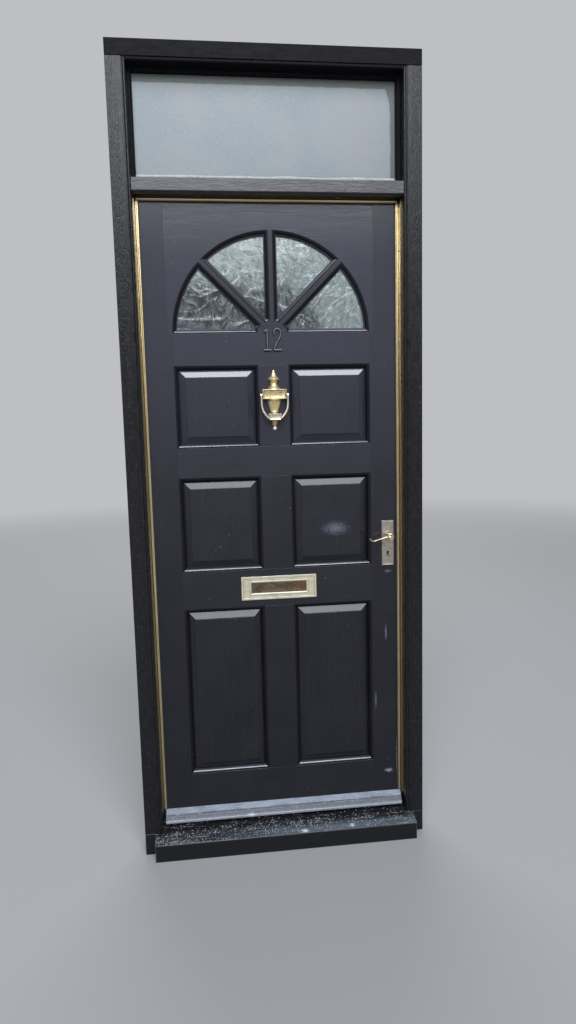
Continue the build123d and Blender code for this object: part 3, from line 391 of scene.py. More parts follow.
cover_low, cover_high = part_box("toplight_cover_beads")
bead_face = 0.012
sight_left = cover_low.x + bead_face
sight_right = cover_high.x - bead_face
sight_foot = cover_low.z + bead_face
sight_top = cover_high.z - bead_face
band_top = 0.022
band_side = 0.015
corner_reach = 0.105
corner_band = 0.026
frost_pale = (0.225, 0.262, 0.288)
frost_blue = (0.150, 0.190, 0.213)
frost_blush = (0.232, 0.240, 0.256)
frost_beads = (0.40, 0.44, 0.46)
frost_dark_band = (0.060, 0.070, 0.066)
dirt_brown = (0.10, 0.105, 0.10)
dirt_reach = 0.10

toplight_frost, shader, place = start_material("toplight_frosted_glass")
side = axis(place, "X")
height = axis(place, "Z")
wobble = (noise_on(place, 30, 2, 0.5) - 0.5) * 0.006
# The frost gives way to a darker band along the top and the right side, curling in at the top corner.
from_top = (sight_top - band_top) - (height + wobble)
curl = spread(height, sight_top - corner_reach, sight_top) ** 2.5 * corner_band
from_side = (sight_right - band_side) - (side + wobble + curl)
clear_of_band = spread(least(from_top, from_side), -0.0015, 0.0015)
clouds = noise_on(scaled(place, (0.6, 1, 1)), 7, 4, 0.6)
stipple = spread(noise_on(place, 150, 3, 0.75), 0.35, 0.65)
frost = blend(clouds * 0.65 + stipple * 0.35, frost_blue, frost_pale)
blush = spread(noise_on(place, 5.5, 2, 0.5), 0.44, 0.60, 0.0, 0.7)
frost = blend(blush, frost, frost_blush)
frost = blend(dots(place, 170, 0.36, 0.32) * 0.30, frost, frost_beads)
glass_colour = blend(clear_of_band, frost_dark_band, frost)
low_down = spread(height, sight_foot + dirt_reach, sight_foot)
specks = noise_on(place, 380, 3, 0.7) > 0.77 - low_down * 0.08
feed(
    shader,
    Base_Color=blend(specks, glass_colour, dirt_brown),
    Transmission_Weight=0.35,
    IOR=1.5,
    Roughness=0.42,
    Normal=raised(noise_on(place, 420, 3, 0.7), 0.0006),
)
dress("toplight_glass", toplight_frost)

sealant_pale = (0.42, 0.45, 0.46)
sealant_grey = (0.24, 0.26, 0.27)
sealant_white, shader, place = start_material("sealant_aged_white")
smears = noise_on(place, 150, 4, 0.65)
feed(
    shader,
    Base_Color=blend(spread(smears, 0.4, 0.7), sealant_pale, sealant_grey),
    Roughness=0.5,
    Normal=raised(smears, 0.0006),
)
sealant_steps = 44
sealant_radius = 0.0034
sealant_flatness = 0.28
sealant_runs = ((0.0030, 0.0010, 21.0), (0.0072, 0.0030, 7.0), (0.0080, 0.0048, 9.0))
bm = bmesh.new()
for rise, wander, grain in sealant_runs:
    line = []
    swell = []
    for step in range(sealant_steps + 1):
        x = sight_left + (sight_right - sight_left) * step / sealant_steps
        line.append((x, sight_foot + rise + wander * noise.noise(Vector((x * grain, rise * 90, 0)))))
        swell.append(0.85 + 0.4 * abs(noise.noise(Vector((x * 24, rise * 90, 5.1)))))
    drawn_rod(bm, line, swell, sealant_radius, sealant_flatness, cover_high.y - 0.0002)
solid_piece("toplight_sealant", bm, "frame", sealant_white, sharp=60)


# Seals: anodised aluminium strips, drawn and polished, screwed to the stops on both sides and
# overhead, each holding a black rubber gasket that the leaf shuts against. The angle of the strip
# is painted darker for dirt and for shade, and the strip overhead is painted dark along its top for shadow.
def in_metres(points):
    """Points of a drawing in millimetres."""
    return [(first / 1000, second / 1000) for first, second in points]


def spun(profile, steps):
    """A shape turned about the Z axis from points of (radius, height)."""
    lathe = bmesh.new()
    line = [lathe.verts.new((radius, 0, height)) for radius, height in profile]
    edges = [lathe.edges.new(pair) for pair in zip(line, line[1:])]
    bmesh.ops.spin(
        lathe, geom=line + edges, axis=(0, 0, 1), cent=(0, 0, 0), steps=steps, angle=2 * pi, use_merge=True
    )
    bmesh.ops.remove_doubles(lathe, verts=lathe.verts, dist=1e-6)
    return lathe


def set_on(place, aim):
    """Where a shape goes that was made upright at the origin."""
    turn = Vector((0, 0, 1)).rotation_difference(Vector(aim)).to_matrix().to_4x4()
    return Matrix.Translation(place) @ turn


def turned(bm, profile, place, aim, steps):
    """Add a turned shape whose axis starts at a place."""
    lathe = spun(profile, steps)
    bmesh.ops.transform(lathe, matrix=set_on(place, aim), verts=lathe.verts)
    add_shape(bm, lathe)


def pushed_out(bm, faces, way):
    """Extrude faces along a vector."""
    made = bmesh.ops.extrude_face_region(bm, geom=faces)
    moved = [item for item in made["geom"] if isinstance(item, bmesh.types.BMVert)]
    bmesh.ops.translate(bm, vec=way, verts=moved)


def sliced(bm, place, normal):
    """Cut a shape by a plane, clear the side that the normal points to, and close the cut."""
    everything = list(bm.verts) + list(bm.edges) + list(bm.faces)
    cut = bmesh.ops.bisect_plane(bm, geom=everything, plane_co=place, plane_no=normal, clear_outer=True)
    rim = [item for item in cut["geom_cut"] if isinstance(item, bmesh.types.BMEdge)]
    bmesh.ops.edgenet_fill(bm, edges=rim)


def in_hollow(place, reach, open_light, shut_light):
    """1 deep in a corner and 0 on an open face, by how much of the light within a reach is shut out."""
    made = place.node("ShaderNodeAmbientOcclusion", Distance=reach)
    made.samples = 4
    return spread(Value(made.outputs["AO"]), open_light, shut_light)


gold = (0.58, 0.45, 0.23)
gold_pale = (0.80, 0.69, 0.45)
gold_dirt_and_shade = (0.060, 0.042, 0.023)


def gold_coat(name, along, shadow_height=None):
    """Anodised gold with drawing lines along the strip, dirt and painted shade in its angle, and painted
    shadow above a height.
    """
    made, shader, place = start_material(name)
    lines = noise_on(scaled(place, along), 700, 3, 0.6)
    stains = noise_on(scaled(place, along), 90, 4, 0.6)
    dirt_and_shade = most(in_hollow(place, 0.012, 0.80, 0.45), spread(stains, 0.66, 0.80)) * 0.85
    if shadow_height:
        # Painted shadow: above this height the strip overhead goes dark, for the shade under the transom.
        above = spread(axis(place, "Z"), shadow_height, shadow_height + 0.0008)
        dirt_and_shade = most(dirt_and_shade, above * 0.97)
    bright = blend(spread(lines, 0.40, 0.62), gold, gold_pale)
    feed(
        shader,
        Base_Color=blend(dirt_and_shade, bright, gold_dirt_and_shade),
        Metallic=1.0,
        Roughness=spread(stains, 0.35, 0.75, 0.22, 0.42),
        Normal=raised(lines, 0.00008, soft_edges(place, 0.0004)),
    )
    return made


strip_low, strip_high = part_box("right_seal_strip")
top_low, top_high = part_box("top_seal_strip")
strip_margin = 0.003
strip_thickness = 0.002
rib_start = 0.0055
rib_end = 0.0115
rib_rise = 0.0020
rib_steps = 8
gauge = 0.0009
gold_upright = gold_coat("gold_anodised_upright", (1, 1, 0.01))
gold_level = gold_coat("gold_anodised_level", (0.01, 1, 1), top_low.z + rib_end)


def strip_section(bm, inner, outer, level, upright):
    """The drawn section as one face: a flat margin, a rounded rib, a groove and a flange."""
    back = strip_high.y
    face = back - gauge
    out = 1 if outer > inner else -1
    points = [(outer, strip_low.y), (outer, back), (inner + out * strip_margin, back)]
    points += [(inner + out * strip_margin, face), (inner + out * rib_start, face)]
    for step in range(1, rib_steps):
        share = step / rib_steps
        rise = rib_rise * (1 - (2 * share - 1) ** 2) ** 0.5
        points.append((inner + out * (rib_start + (rib_end - rib_start) * share), face - rise))
    points += [(inner + out * rib_end, face), (outer - out * strip_thickness, face)]
    points.append((outer - out * strip_thickness, strip_low.y))
    if upright:
        return bm.faces.new([bm.verts.new((across, y, level)) for across, y in points])
    return bm.faces.new([bm.verts.new((level, y, across)) for across, y in points])


def mitred(bm, side, kept):
    """Cut a strip at 45 degrees at a top corner; kept is 1 for the strip overhead and -1 for a side one."""
    normal = Vector((side, 0, -1)).normalized() * kept
    sliced(bm, (side * strip_low.x, 0, top_low.z), normal)


for name, side in (("left_seal_strip", -1), ("right_seal_strip", 1)):
    bm = bmesh.new()
    section = strip_section(bm, side * strip_low.x, side * strip_high.x, strip_low.z, True)
    pushed_out(bm, [section], (0, 0, top_high.z - strip_low.z))
    mitred(bm, side, -1)
    new_name = name.replace("seal", "drawn_seal")
    strip = solid_piece(new_name, bm, "frame", gold_upright, sharp=50)
    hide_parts(name)
bm = bmesh.new()
section = strip_section(bm, top_low.z, top_high.z, -strip_high.x, False)
pushed_out(bm, [section], (2 * strip_high.x, 0, 0))
mitred(bm, -1, 1)
mitred(bm, 1, 1)
strip = solid_piece("top_drawn_seal_strip", bm, "frame", gold_level, sharp=50)
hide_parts("top_seal_strip")

rubber_black = (0.010, 0.010, 0.011)
rubber_grey = (0.055, 0.052, 0.05)
gasket_rubber, shader, place = start_material("gasket_black_rubber")
chalky = noise_on(place, 240, 4, 0.7)
feed(
    shader,
    Base_Color=blend(spread(chalky, 0.45, 0.8), rubber_black, rubber_grey),
    Roughness=0.62,
    Normal=raised(chalky, 0.0003, soft_edges(place, 0.0006)),
)
dress("seal_gaskets", gasket_rubber)

fixing_y = -0.014
fixing_heights = (0.228, 0.648, 1.068, 1.488, 1.908)
fixing_side = 0.21
dome = [(0, 1.4), (1.21, 1.232), (1.98, 0.63), (2.2, 0), (2.2, -0.5), (0, -0.5)]
flange_x = strip_high.x - strip_thickness
bm = bmesh.new()
for side in (-1, 1):
    for z in fixing_heights:
        turned(bm, in_metres(dome), (side * flange_x, fixing_y, z), (-side, 0, 0), 16)
    turned(bm, in_metres(dome), (side * fixing_side, fixing_y, top_high.z - strip_thickness), (0, 0, -1), 16)
solid_piece("seal_fixings", bm, "frame", gold_upright)


# Leaf: stiles, rails and muntins of timber, tenoned together round six raised and fielded
# panels, with an arched head over the fanlight. Black paint, brushed along the grain of each
# piece and gone satin, with rubbed arrises and a painted sheen on the ledges and higher up.
leaf_black = (0.0060, 0.0054, 0.0076)
leaf_bloom_and_sheen = (0.050, 0.048, 0.066)
leaf_chalk = (0.28, 0.31, 0.37)
along_upright, across_upright = (1, 1, 0.025), (1, 1, 0.12)
along_level, across_level = (0.025, 1, 1), (0.12, 1, 1)
leaf_marks = [
    ((0.190, 0, 1.038), (0.052, None, 0.028), 0.34),
    ((0.362, 0, 0.888), (0.014, None, 0.006), 0.45),
    ((0.354, 0, 0.680), (0.0040, None, 0.034), 0.45),
    ((0.318, 0, 0.446), (0.0040, None, 0.040), 0.35),
    ((0.361, 0, 0.193), (0.018, None, 0.009), 0.90),
    ((0.3915, 0, 0.235), (0.0045, None, 0.11), 0.80),
]


def leaf_coat(name, along, across, gloss, coat, dust_and_sheen=0.40, low_sheen=0.0, coat_ior=1.48, marks=()):
    """Brushed satin black with a painted sheen that grows higher up; the pattern is long along the grain."""
    made, shader, place = start_material(name)
    lines = noise_on(scaled(place, along), 430, 4, 0.66)
    broad = noise_on(scaled(place, across), 46, 4, 0.6, 0.5)
    cloud = noise_on(place, 6.5, 4, 0.62)
    rounded = soft_edges(place, 0.0010)
    surface = lines * 0.8 + broad * 0.7
    rubbed = worn_edge(rounded, 0.94) * spread(broad, 0.42, 0.66)
    # Painted sheen: the colour grows paler higher up the leaf, over random cloudy patches.
    bloom_and_sheen = spread(cloud, 0.40, 0.75) * 0.09 + spread(axis(place, "Z"), 0.95, 1.60, low_sheen, dust_and_sheen)
    pale = most(bloom_and_sheen + spread(lines, 0.56, 0.72) * 0.28, rubbed * 0.9)
    chalk = most(dots(place, 26, 0.040, 0.30), dots(place, 70, 0.075, 0.07)) * 0.75
    for middle, reach, strength in marks:
        outside = axis(place, "Y") < 0.015
        chalk = most(chalk, smear(place, middle, reach) * outside * strength)
    feed(
        shader,
        Base_Color=blend(chalk, blend(pale, leaf_black, leaf_bloom_and_sheen), leaf_chalk),
        Roughness=spread(cloud, 0.3, 0.7, 0.40, 0.50) + broad * 0.10,
        Specular_IOR_Level=gloss,
        Specular_Tint=(0.80, 0.84, 1.0),
        Coat_Weight=coat,
        Coat_Roughness=0.14,
        Coat_IOR=coat_ior,
        Coat_Tint=(0.91, 0.94, 1.0),
        Normal=raised(surface, 0.0005, rounded),
        Coat_Normal=raised(surface, 0.00016, rounded),
    )
    return made


upright_coat = leaf_coat("leaf_black_upright", along_upright, across_upright, 0.15, 0.66)
marked_coat = leaf_coat("leaf_black_marked", along_upright, across_upright, 0.15, 0.66, marks=leaf_marks)
level_coat = leaf_coat("leaf_black_level", along_level, across_level, 0.20, 0.66)
# The ledge coat carries the painted sheen in full at every height, under a glossier coat.
ledge_coat = leaf_coat("leaf_black_ledges", along_level, across_level, 0.22, 1.0, 1.0, 1.0, 1.62)
hollow_coat = leaf_coat("leaf_black_hollows", (1, 1, 1), (1, 1, 1), 0.08, 0.10, 0.0)
moulding_start = 0.0004
moulding_end = 0.020


def moulded(node_name, coat):
    """Coat a member: the undersides and sides of its mouldings dull, their ledges with a painted sheen."""
    dress(node_name, coat, hollow_coat, ledge_coat)
    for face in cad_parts[node_name].data.polygons:
        if moulding_start < face.center.y < moulding_end:
            face.material_index = 1 if face.normal.z < 0.3 else 2


for name in ("hinge_stile", "lower_muntin", "middle_muntin", "upper_muntin"):
    moulded(name, upright_coat)
moulded("lock_stile", marked_coat)
for name in ("bottom_rail", "middle_rail", "upper_rail", "fan_rail", "top_rail"):
    moulded(name, level_coat)
for name in ("middle_left_panel", "lower_left_panel", "lower_right_panel"):
    dress(name, upright_coat)
dress("middle_right_panel", marked_coat)
# The top bevels of the upper panels take the ledge coat and its painted sheen.
for name in ("upper_left_panel", "upper_right_panel"):
    dress(name, upright_coat, ledge_coat)
    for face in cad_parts[name].data.polygons:
        if face.normal.y < -0.5 and face.normal.z > 0.15:
            face.material_index = 1


# Fanlight: a hub and three glazing bars like a rising sun, over four panes of obscure rolled
# glass. The panes are bedded from inside and held by mitred beads, and thin painted fillets
# close the angle between timber and glass outside.
for name in ("fan_hub", "left_fan_bar", "centre_fan_bar", "right_fan_bar"):
    moulded(name, upright_coat)
dress("fan_beads", upright_coat)

pane_front, pane_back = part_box("fan_glass")
middle_y = (pane_front.y + pane_back.y) / 2
hub_centre = (0.0, 1.646)
glass_pale, glass_bright = (0.20, 0.25, 0.255), (0.45, 0.505, 0.51)
glass_dark, glass_grey = (0.040, 0.050, 0.057), (0.25, 0.29, 0.305)
relief_cell = 0.0026
relief_depth = 0.0029
relief_stretch = Vector((24.0, 0.0, 13.0))
crease_scale = 11.0
shadow_reach = 0.165
shadow_top = 1.812
left_pane_edge = -0.075
noise.seed_set(5)


def crumpled(place):
    """Height of the rolled glass at a place, from 0 in a crease to 1 on a crest."""
    bend = noise.noise_vector(place * 9.0) * 0.055
    bent = place + Vector((bend.x, 0, bend.z))
    stretched = Vector((bent.x * relief_stretch.x, 3.7, bent.z * relief_stretch.z))
    swell = 0.5 + 0.5 * noise.noise(stretched)
    crease = 1.0 - min(1.0, abs(noise.noise(bent * crease_scale)) * 5.0)
    fine = 1.0 - min(1.0, abs(noise.noise(bent * crease_scale * 2.3)) * 4.2)
    return 0.34 * swell + 0.40 * crease ** 2 + 0.26 * fine ** 2


panes = bpy.data.objects.new("panes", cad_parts["fan_glass"].data.copy())
bpy.context.collection.objects.link(panes)
bm = bmesh.new()
bm.from_mesh(panes.data)
bmesh.ops.remove_doubles(bm, verts=bm.verts, dist=1e-5)
bm.to_mesh(panes.data)
bm.free()
cells = panes.modifiers.new("cells", "REMESH")
cells.mode = "VOXEL"
cells.voxel_size = relief_cell
evaluated = panes.evaluated_get(bpy.context.evaluated_depsgraph_get())
bm = bmesh.new()
bm.from_mesh(evaluated.to_mesh())
evaluated.to_mesh_clear()
bpy.data.objects.remove(panes)
for vertex in bm.verts:
    if vertex.co.y < middle_y:
        vertex.co.y += relief_depth * (1.0 - crumpled(vertex.co))

obscure_glass, shader, place = start_material("fanlight_obscure_glass")
# Painted light and shade: the panes are coloured in lit tones, and in shaded tones round the hub and low in
# the left pane.
waver = (noise_on(place, 24, 4, 0.65, 1.0) - 0.5) * 0.11
from_hub = measured("DISTANCE", place, (hub_centre[0], middle_y, hub_centre[1]))
near_hub = shadow_reach - (from_hub + waver)
low_left = least(shadow_top - (axis(place, "Z") + waver), left_pane_edge - axis(place, "X"))
shade = spread(most(near_hub, low_left), -0.022, 0.026)
folds = noise_on(scaled(place, (1.4, 1, 0.9)), 17, 4, 0.60, 4.2)
lit = blend(spread(folds, 0.35, 0.65), glass_pale, glass_bright)
shaded = blend(spread(folds, 0.42, 0.68), glass_dark, glass_grey)
feed(
    shader,
    Base_Color=blend(shade, lit, shaded),
    Transmission_Weight=0.7,
    IOR=1.5,
    Roughness=0.20,
    Normal=raised(folds, 0.0010),
)
fan_panes = solid_piece("fanlight_panes", bm, "leaf", obscure_glass, sharp=60)
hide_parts("fan_glass")

fillet_radius = 0.0021
fillet_inset = fillet_radius * 0.6
fillet_depth = 0.0125
fillet_flatness = 1.5
arch_centre = (0.0, 1.660)
arch_radius = 0.297
hub_radius = 0.060
bar_half_width = 0.0165
bar_start = 0.042
foot_level = 1.670
foot_start = 0.0528
bar_turns = (45, 90, 135)
between_bars = ((1.6, 42.0), (48.0, 87.0), (93.0, 132.0), (138.0, 178.4))
beside_hub = ((23.0, 39.5), (140.5, 157.0))
arc_steps = 14
lines = []
for turn in bar_turns:
    along = Vector((cos(radians(turn)), sin(radians(turn))))
    for side in (-1, 1):
        start = Vector(arch_centre) + Vector((-along.y, along.x)) * side * (bar_half_width + fillet_inset)
        reaches = [bar_start + (arch_radius - bar_start) * share for share in (0.0, 0.33, 0.67, 1.0)]
        lines.append([start + along * reach for reach in reaches])
arcs = [(arch_centre, arch_radius - fillet_inset, *ends) for ends in between_bars]
arcs += [(hub_centre, hub_radius + fillet_inset, *ends) for ends in beside_hub]
for centre, radius, first, last in arcs:
    turns = [radians(first + (last - first) * step / arc_steps) for step in range(arc_steps + 1)]
    lines.append([(centre[0] + radius * cos(turn), centre[1] + radius * sin(turn)) for turn in turns])
for side in (-1, 1):
    reaches = [foot_start + (arch_radius - foot_start) * share for share in (0.0, 0.33, 0.67, 1.0)]
    lines.append([(side * reach, foot_level + fillet_inset) for reach in reaches])
bm = bmesh.new()
for line in lines:
    drawn_rod(bm, line, [1.0] * len(line), fillet_radius, fillet_flatness, fillet_depth)
solid_piece("fanlight_fillets", bm, "leaf", upright_coat, sharp=50)


# Numerals: two plain cast digits with rounded faces, pinned on the rail and the hub below the
# panes. They are painted over with the leaf, and their rounded tops carry a painted grey highlight.
numeral_foot = 1.6065
numeral_highlight_grey = (0.125, 0.120, 0.140)
stroke_radius = 0.0044
stroke_rise = 0.0064
numeral_strokes = [
    [(-0.0260, 0.0575), (-0.0205, 0.0600), (-0.0165, 0.0640)],
    [(-0.0165, 0.0640), (-0.0165, 0.0350), (-0.0165, 0.0010)],
    [(-0.0275, 0.0010), (-0.0165, 0.0010), (-0.0055, 0.0010)],
    [
        (0.0045, 0.0480), (0.0045, 0.0600), (0.0105, 0.0660), (0.0190, 0.0660), (0.0255, 0.0590),
        (0.0255, 0.0440), (0.0190, 0.0330), (0.0100, 0.0180), (0.0045, 0.0080), (0.0045, 0.0010),
    ],
    [(0.0045, 0.0010), (0.0160, 0.0010), (0.0275, 0.0010)],
]
numeral_paint, shader, place = start_material("numeral_black_grey_crest")
handled = noise_on(place, 160, 4, 0.65)
# Painted highlight: a grey line along the rounded top of each stroke, broken up by a noise pattern.
crest_highlight = spread(axis(place, "Y"), -stroke_rise * 0.72, -stroke_rise * 0.96)
crest_highlight = crest_highlight * spread(handled, 0.30, 0.60, 0.35, 1.0)
feed(
    shader,
    Base_Color=blend(crest_highlight, leaf_black, numeral_highlight_grey),
    Roughness=spread(handled, 0.3, 0.7, 0.30, 0.44),
    Normal=raised(handled, 0.0003),
)
bm = bmesh.new()
for stroke in numeral_strokes:
    line = [(x, numeral_foot + z) for x, z in stroke]
    drawn_rod(bm, line, [1.0] * len(line), stroke_radius, stroke_rise / stroke_radius, 0.0)
solid_piece("numerals", bm, "leaf", numeral_paint, sharp=50)


# Weatherboard: a sloped timber drip board screwed over the foot of the leaf, thick with old
# paint. The slope is faded in streaks and painted pale for the light it catches, the band
# below it is painted dark for shade, and the front edge carries a painted highlight. The lower
# edge is speckled and scratched by feet and rain.
board_lit_pale = (0.29, 0.325, 0.40)
board_dark = (0.045, 0.046, 0.056)
board_nose_highlight = (0.38, 0.40, 0.46)
board_specks = (0.44, 0.46, 0.50)
board_chip = (0.50, 0.52, 0.55)
chip_place = (-0.115, -0.040, 0.098)
chip_size = (0.018, 0.014, 0.008)
board_paint, shader, place = start_material("weatherboard_worn_black")
streaks = noise_on(scaled(place, (0.09, 1, 1)), 300, 4, 0.65)
patches = noise_on(scaled(place, (0.6, 1, 1)), 26, 4, 0.6)
along_slope = axis(place, "Y") + (patches - 0.5) * 0.006
# Painted light and shade by depth: a pale slope, a dark band below it and a lighter front edge.
shaded_band = spread(along_slope, -0.0185, -0.0215)
lit_nose = spread(along_slope, -0.0225, -0.0350)
specks = dots(scaled(place, (0.5, 1, 1)), 300, 0.40, spread(shaded_band, 0, 1, 0.05, 0.34))
lit_and_bleached = spread(streaks + patches, 0.75, 1.15, 0.55, 1.0)
colour = blend(lit_and_bleached, board_dark, board_lit_pale)
colour = blend(shaded_band * 0.78, colour, board_dark)
colour = blend(lit_nose * 0.42, colour, board_nose_highlight)
colour = blend(specks * 0.8, colour, board_specks)
feed(
    shader,
    Base_Color=blend(smear(place, chip_place, chip_size), colour, board_chip),
    Roughness=spread(patches, 0.3, 0.7, 0.26, 0.42),
    Normal=raised(streaks, 0.0006, soft_edges(place, 0.0016)),
)
dress("weatherboard", board_paint)


# Letter plate: a satin-polished brass frame with a raised border, bolted through the middle
# rail, its flap hung on a pin behind the slot. Letters and hands have kept the frame pale. The
# flap is painted dark brown, partly tarnish and partly shade in the slot, with painted orange reflection.
plate_pale = (0.86, 0.82, 0.67)
plate_ends = (0.89, 0.79, 0.58)
plate_stain = (0.46, 0.40, 0.29)
plate_freckle = (0.28, 0.22, 0.15)
plate_grime = (0.22, 0.18, 0.12)
plate_metal, shader, place = start_material("letter_plate_satin_brass")
brushed = noise_on(scaled(place, (0.015, 1, 1)), 1200, 3, 0.6)
stains = noise_on(scaled(place, (0.5, 1, 1)), 48, 5, 0.68)
bright = blend(spread(abs(axis(place, "X")), 0.085, 0.110), plate_pale, plate_ends)
bright = blend(spread(stains, 0.50, 0.78), bright, plate_stain)
bright = blend(spread(noise_on(place, 800, 3, 0.75), 0.66, 0.76), bright, plate_freckle)
feed(
    shader,
    Base_Color=blend(in_hollow(place, 0.004, 0.90, 0.60), bright, plate_grime),
    Metallic=1.0,
    Roughness=spread(stains, 0.3, 0.7, 0.30, 0.44),
    Normal=raised(brushed, 0.00012, soft_edges(place, 0.0007)),
)
for name in ("letter_plate", "letter_plate_bolts", "flap_pin"):
    dress(name, plate_metal)

flap_dark = (0.115, 0.075, 0.042)
flap_grey = (0.20, 0.17, 0.13)
flap_orange_reflection = (0.22, 0.115, 0.048)
flap_green = (0.105, 0.125, 0.095)
flap_metal, shader, place = start_material("letter_flap_brown_shaded_brass")
handled = noise_on(scaled(place, (0.35, 1, 1)), 60, 5, 0.66, 0.6)
# Painted shade and reflection: the flap stays dark for the shade in the slot, with orange patches of
# reflection.
brown = blend(spread(handled, 0.35, 0.66), flap_dark, flap_grey)
brown = blend(spread(noise_on(place, 22, 3, 0.55), 0.50, 0.66), brown, flap_orange_reflection)
left_end = spread(axis(place, "X"), -0.070, -0.078) * 0.6
feed(
    shader,
    Base_Color=blend(left_end, brown, flap_green),
    Metallic=1.0,
    Roughness=spread(handled, 0.3, 0.7, 0.34, 0.55),
    Normal=raised(handled, 0.0003, soft_edges(place, 0.0006)),
)
dress("letter_flap", flap_metal)


# Knocker: a cast brass urn with a crossbar and a fluted bowl, bolted through the upper muntin,
# and a ring that hangs from two pivots and strikes with its framed foot. Handling keeps the
# ring pale and bright, and dirt has browned the hollows.
knocker_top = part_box("knocker_urn")[1].z
bar_top = knocker_top - 0.061
bar_foot = bar_top - 0.030
bar_half = 0.0375
bar_front = 0.022
flute_count = 22
flute_depth = 0.085
finial_profile = [
    (0.0, 0.0), (2.4, 0.5), (3.8, 2.0), (4.4, 4.2), (4.2, 6.5), (4.6, 8.0), (6.0, 9.6), (6.6, 11.5),
    (7.4, 14.5), (8.8, 17.5), (10.6, 20.5), (13.2, 23.5), (15.8, 26.0), (18.4, 28.0), (18.6, 29.8),
    (17.6, 31.6), (15.0, 33.2), (12.8, 35.0), (11.6, 38.0), (11.0, 42.0), (11.2, 45.5), (12.2, 48.5),
    (14.0, 51.5), (16.8, 54.5), (19.8, 57.5), (21.6, 60.2), (22.0, 62.4), (0.0, 62.4),
]
bowl_profile = [
    (0.0, 90.0), (24.0, 90.0), (24.4, 91.6), (24.0, 93.4), (22.4, 94.4), (21.6, 95.6), (20.8, 98.6),
    (19.4, 103.0), (17.8, 108.2), (16.2, 114.0), (14.8, 119.6), (13.6, 124.4), (12.7, 128.0),
    (12.9, 129.0), (14.0, 130.2), (14.2, 131.6), (13.0, 133.0), (11.2, 134.2), (10.8, 137.0),
    (10.8, 155.0), (11.6, 156.4), (11.8, 158.0), (10.6, 159.6), (9.9, 161.0), (9.8, 163.0),
    (8.9, 167.4), (7.6, 172.0), (6.4, 174.6), (5.0, 175.6), (0.0, 176.0),
]
flutes_from = 0.0965
flutes_to = 0.1275
knob_drop = 0.182
knob_radius = 0.0076
knob_squash = 0.96
bar_rims = [(0.0036, 0.0012), (0.0012, 0.0012)]
cast_softness = 0.0007


def half_turned(bm, profile, steps):
    """Add a turned half body, flat against the leaf, from a profile of radius and drop in mm."""
    lathe = spun([(radius, -drop) for radius, drop in in_metres(profile)], steps)
    for vertex in lathe.verts:
        if flutes_from < -vertex.co.z < flutes_to:
            turn = atan2(vertex.co.y, vertex.co.x)
            hollow = 1 - flute_depth * (0.5 + 0.5 * cos(turn * flute_count))
            vertex.co.x *= hollow
            vertex.co.y *= hollow
    sliced(lathe, (0, 0, 0), (0, 1, 0))
    bmesh.ops.translate(lathe, vec=(0, 0, knocker_top), verts=lathe.verts)
    add_shape(bm, lathe)


def framed_block(bm, corners, front, back, rims, soften):
    """Add a block with sunk frames in its front face; each rim is a width and a depth."""
    block = bmesh.new()
    face = block.faces.new([block.verts.new((x, front, z)) for x, z in corners])
    pushed_out(block, [face], (0, back - front, 0))
    bmesh.ops.recalc_face_normals(block, faces=block.faces)
    face = min(block.faces, key=lambda item: item.calc_center_median().y)
    for width, depth in rims:
        bmesh.ops.inset_region(block, faces=[face], thickness=width, depth=0)
        bmesh.ops.inset_region(block, faces=[face], thickness=depth * 0.6, depth=-depth)
    sharp = [edge for edge in block.edges if edge.calc_face_angle(0) > radians(20)]
    bmesh.ops.bevel(
        block, geom=sharp, offset=soften, segments=2, profile=0.5, affect="EDGES", material=-1
    )
    add_shape(bm, block)


brass_warm = (0.80, 0.60, 0.28)
brass_pale = (0.80, 0.69, 0.44)
bar_bright = (0.60, 0.50, 0.30)
bar_dull = (0.36, 0.27, 0.13)
tip_copper = (0.62, 0.37, 0.22)
knob_silver = (0.78, 0.75, 0.68)
brass_dirt = (0.17, 0.095, 0.045)
aged_brass, shader, place = start_material("knocker_aged_brass")
height = axis(place, "Z")
stains = noise_on(place, 130, 5, 0.68, 0.5)
pits = noise_on(place, 900, 2, 0.7)
rounded = soft_edges(place, 0.0009)
warm = blend(spread(noise_on(place, 46, 4, 0.6), 0.35, 0.65), brass_warm, brass_pale)
on_bar = spread(height, bar_foot - 0.001, bar_foot) * spread(height, bar_top, bar_top - 0.001)
warm = blend(on_bar, warm, blend(spread(stains, 0.40, 0.62), bar_bright, bar_dull))
above_knob = spread(height, knocker_top - 0.1755, knocker_top - 0.1735)
on_tip = spread(height, knocker_top - 0.160, knocker_top - 0.157, 1, 0) * above_knob
warm = blend(on_tip, warm, tip_copper)
warm = blend(above_knob, knob_silver, warm)
dirt = most(in_hollow(place, 0.006, 0.74, 0.32), spread(stains, 0.50, 0.74) * 0.65)
dirt = dirt * (1.0 - worn_edge(rounded, 0.90))
feed(
    shader,
    Base_Color=blend(dirt, warm, brass_dirt),
    Metallic=0.78,
    Roughness=spread(stains, 0.3, 0.7, 0.28, 0.46),
    Normal=raised(stains * 0.7 + pits * 0.3, 0.00035, rounded),
)
dress("knocker_bolts", aged_brass)
dress("knocker_pins", aged_brass)

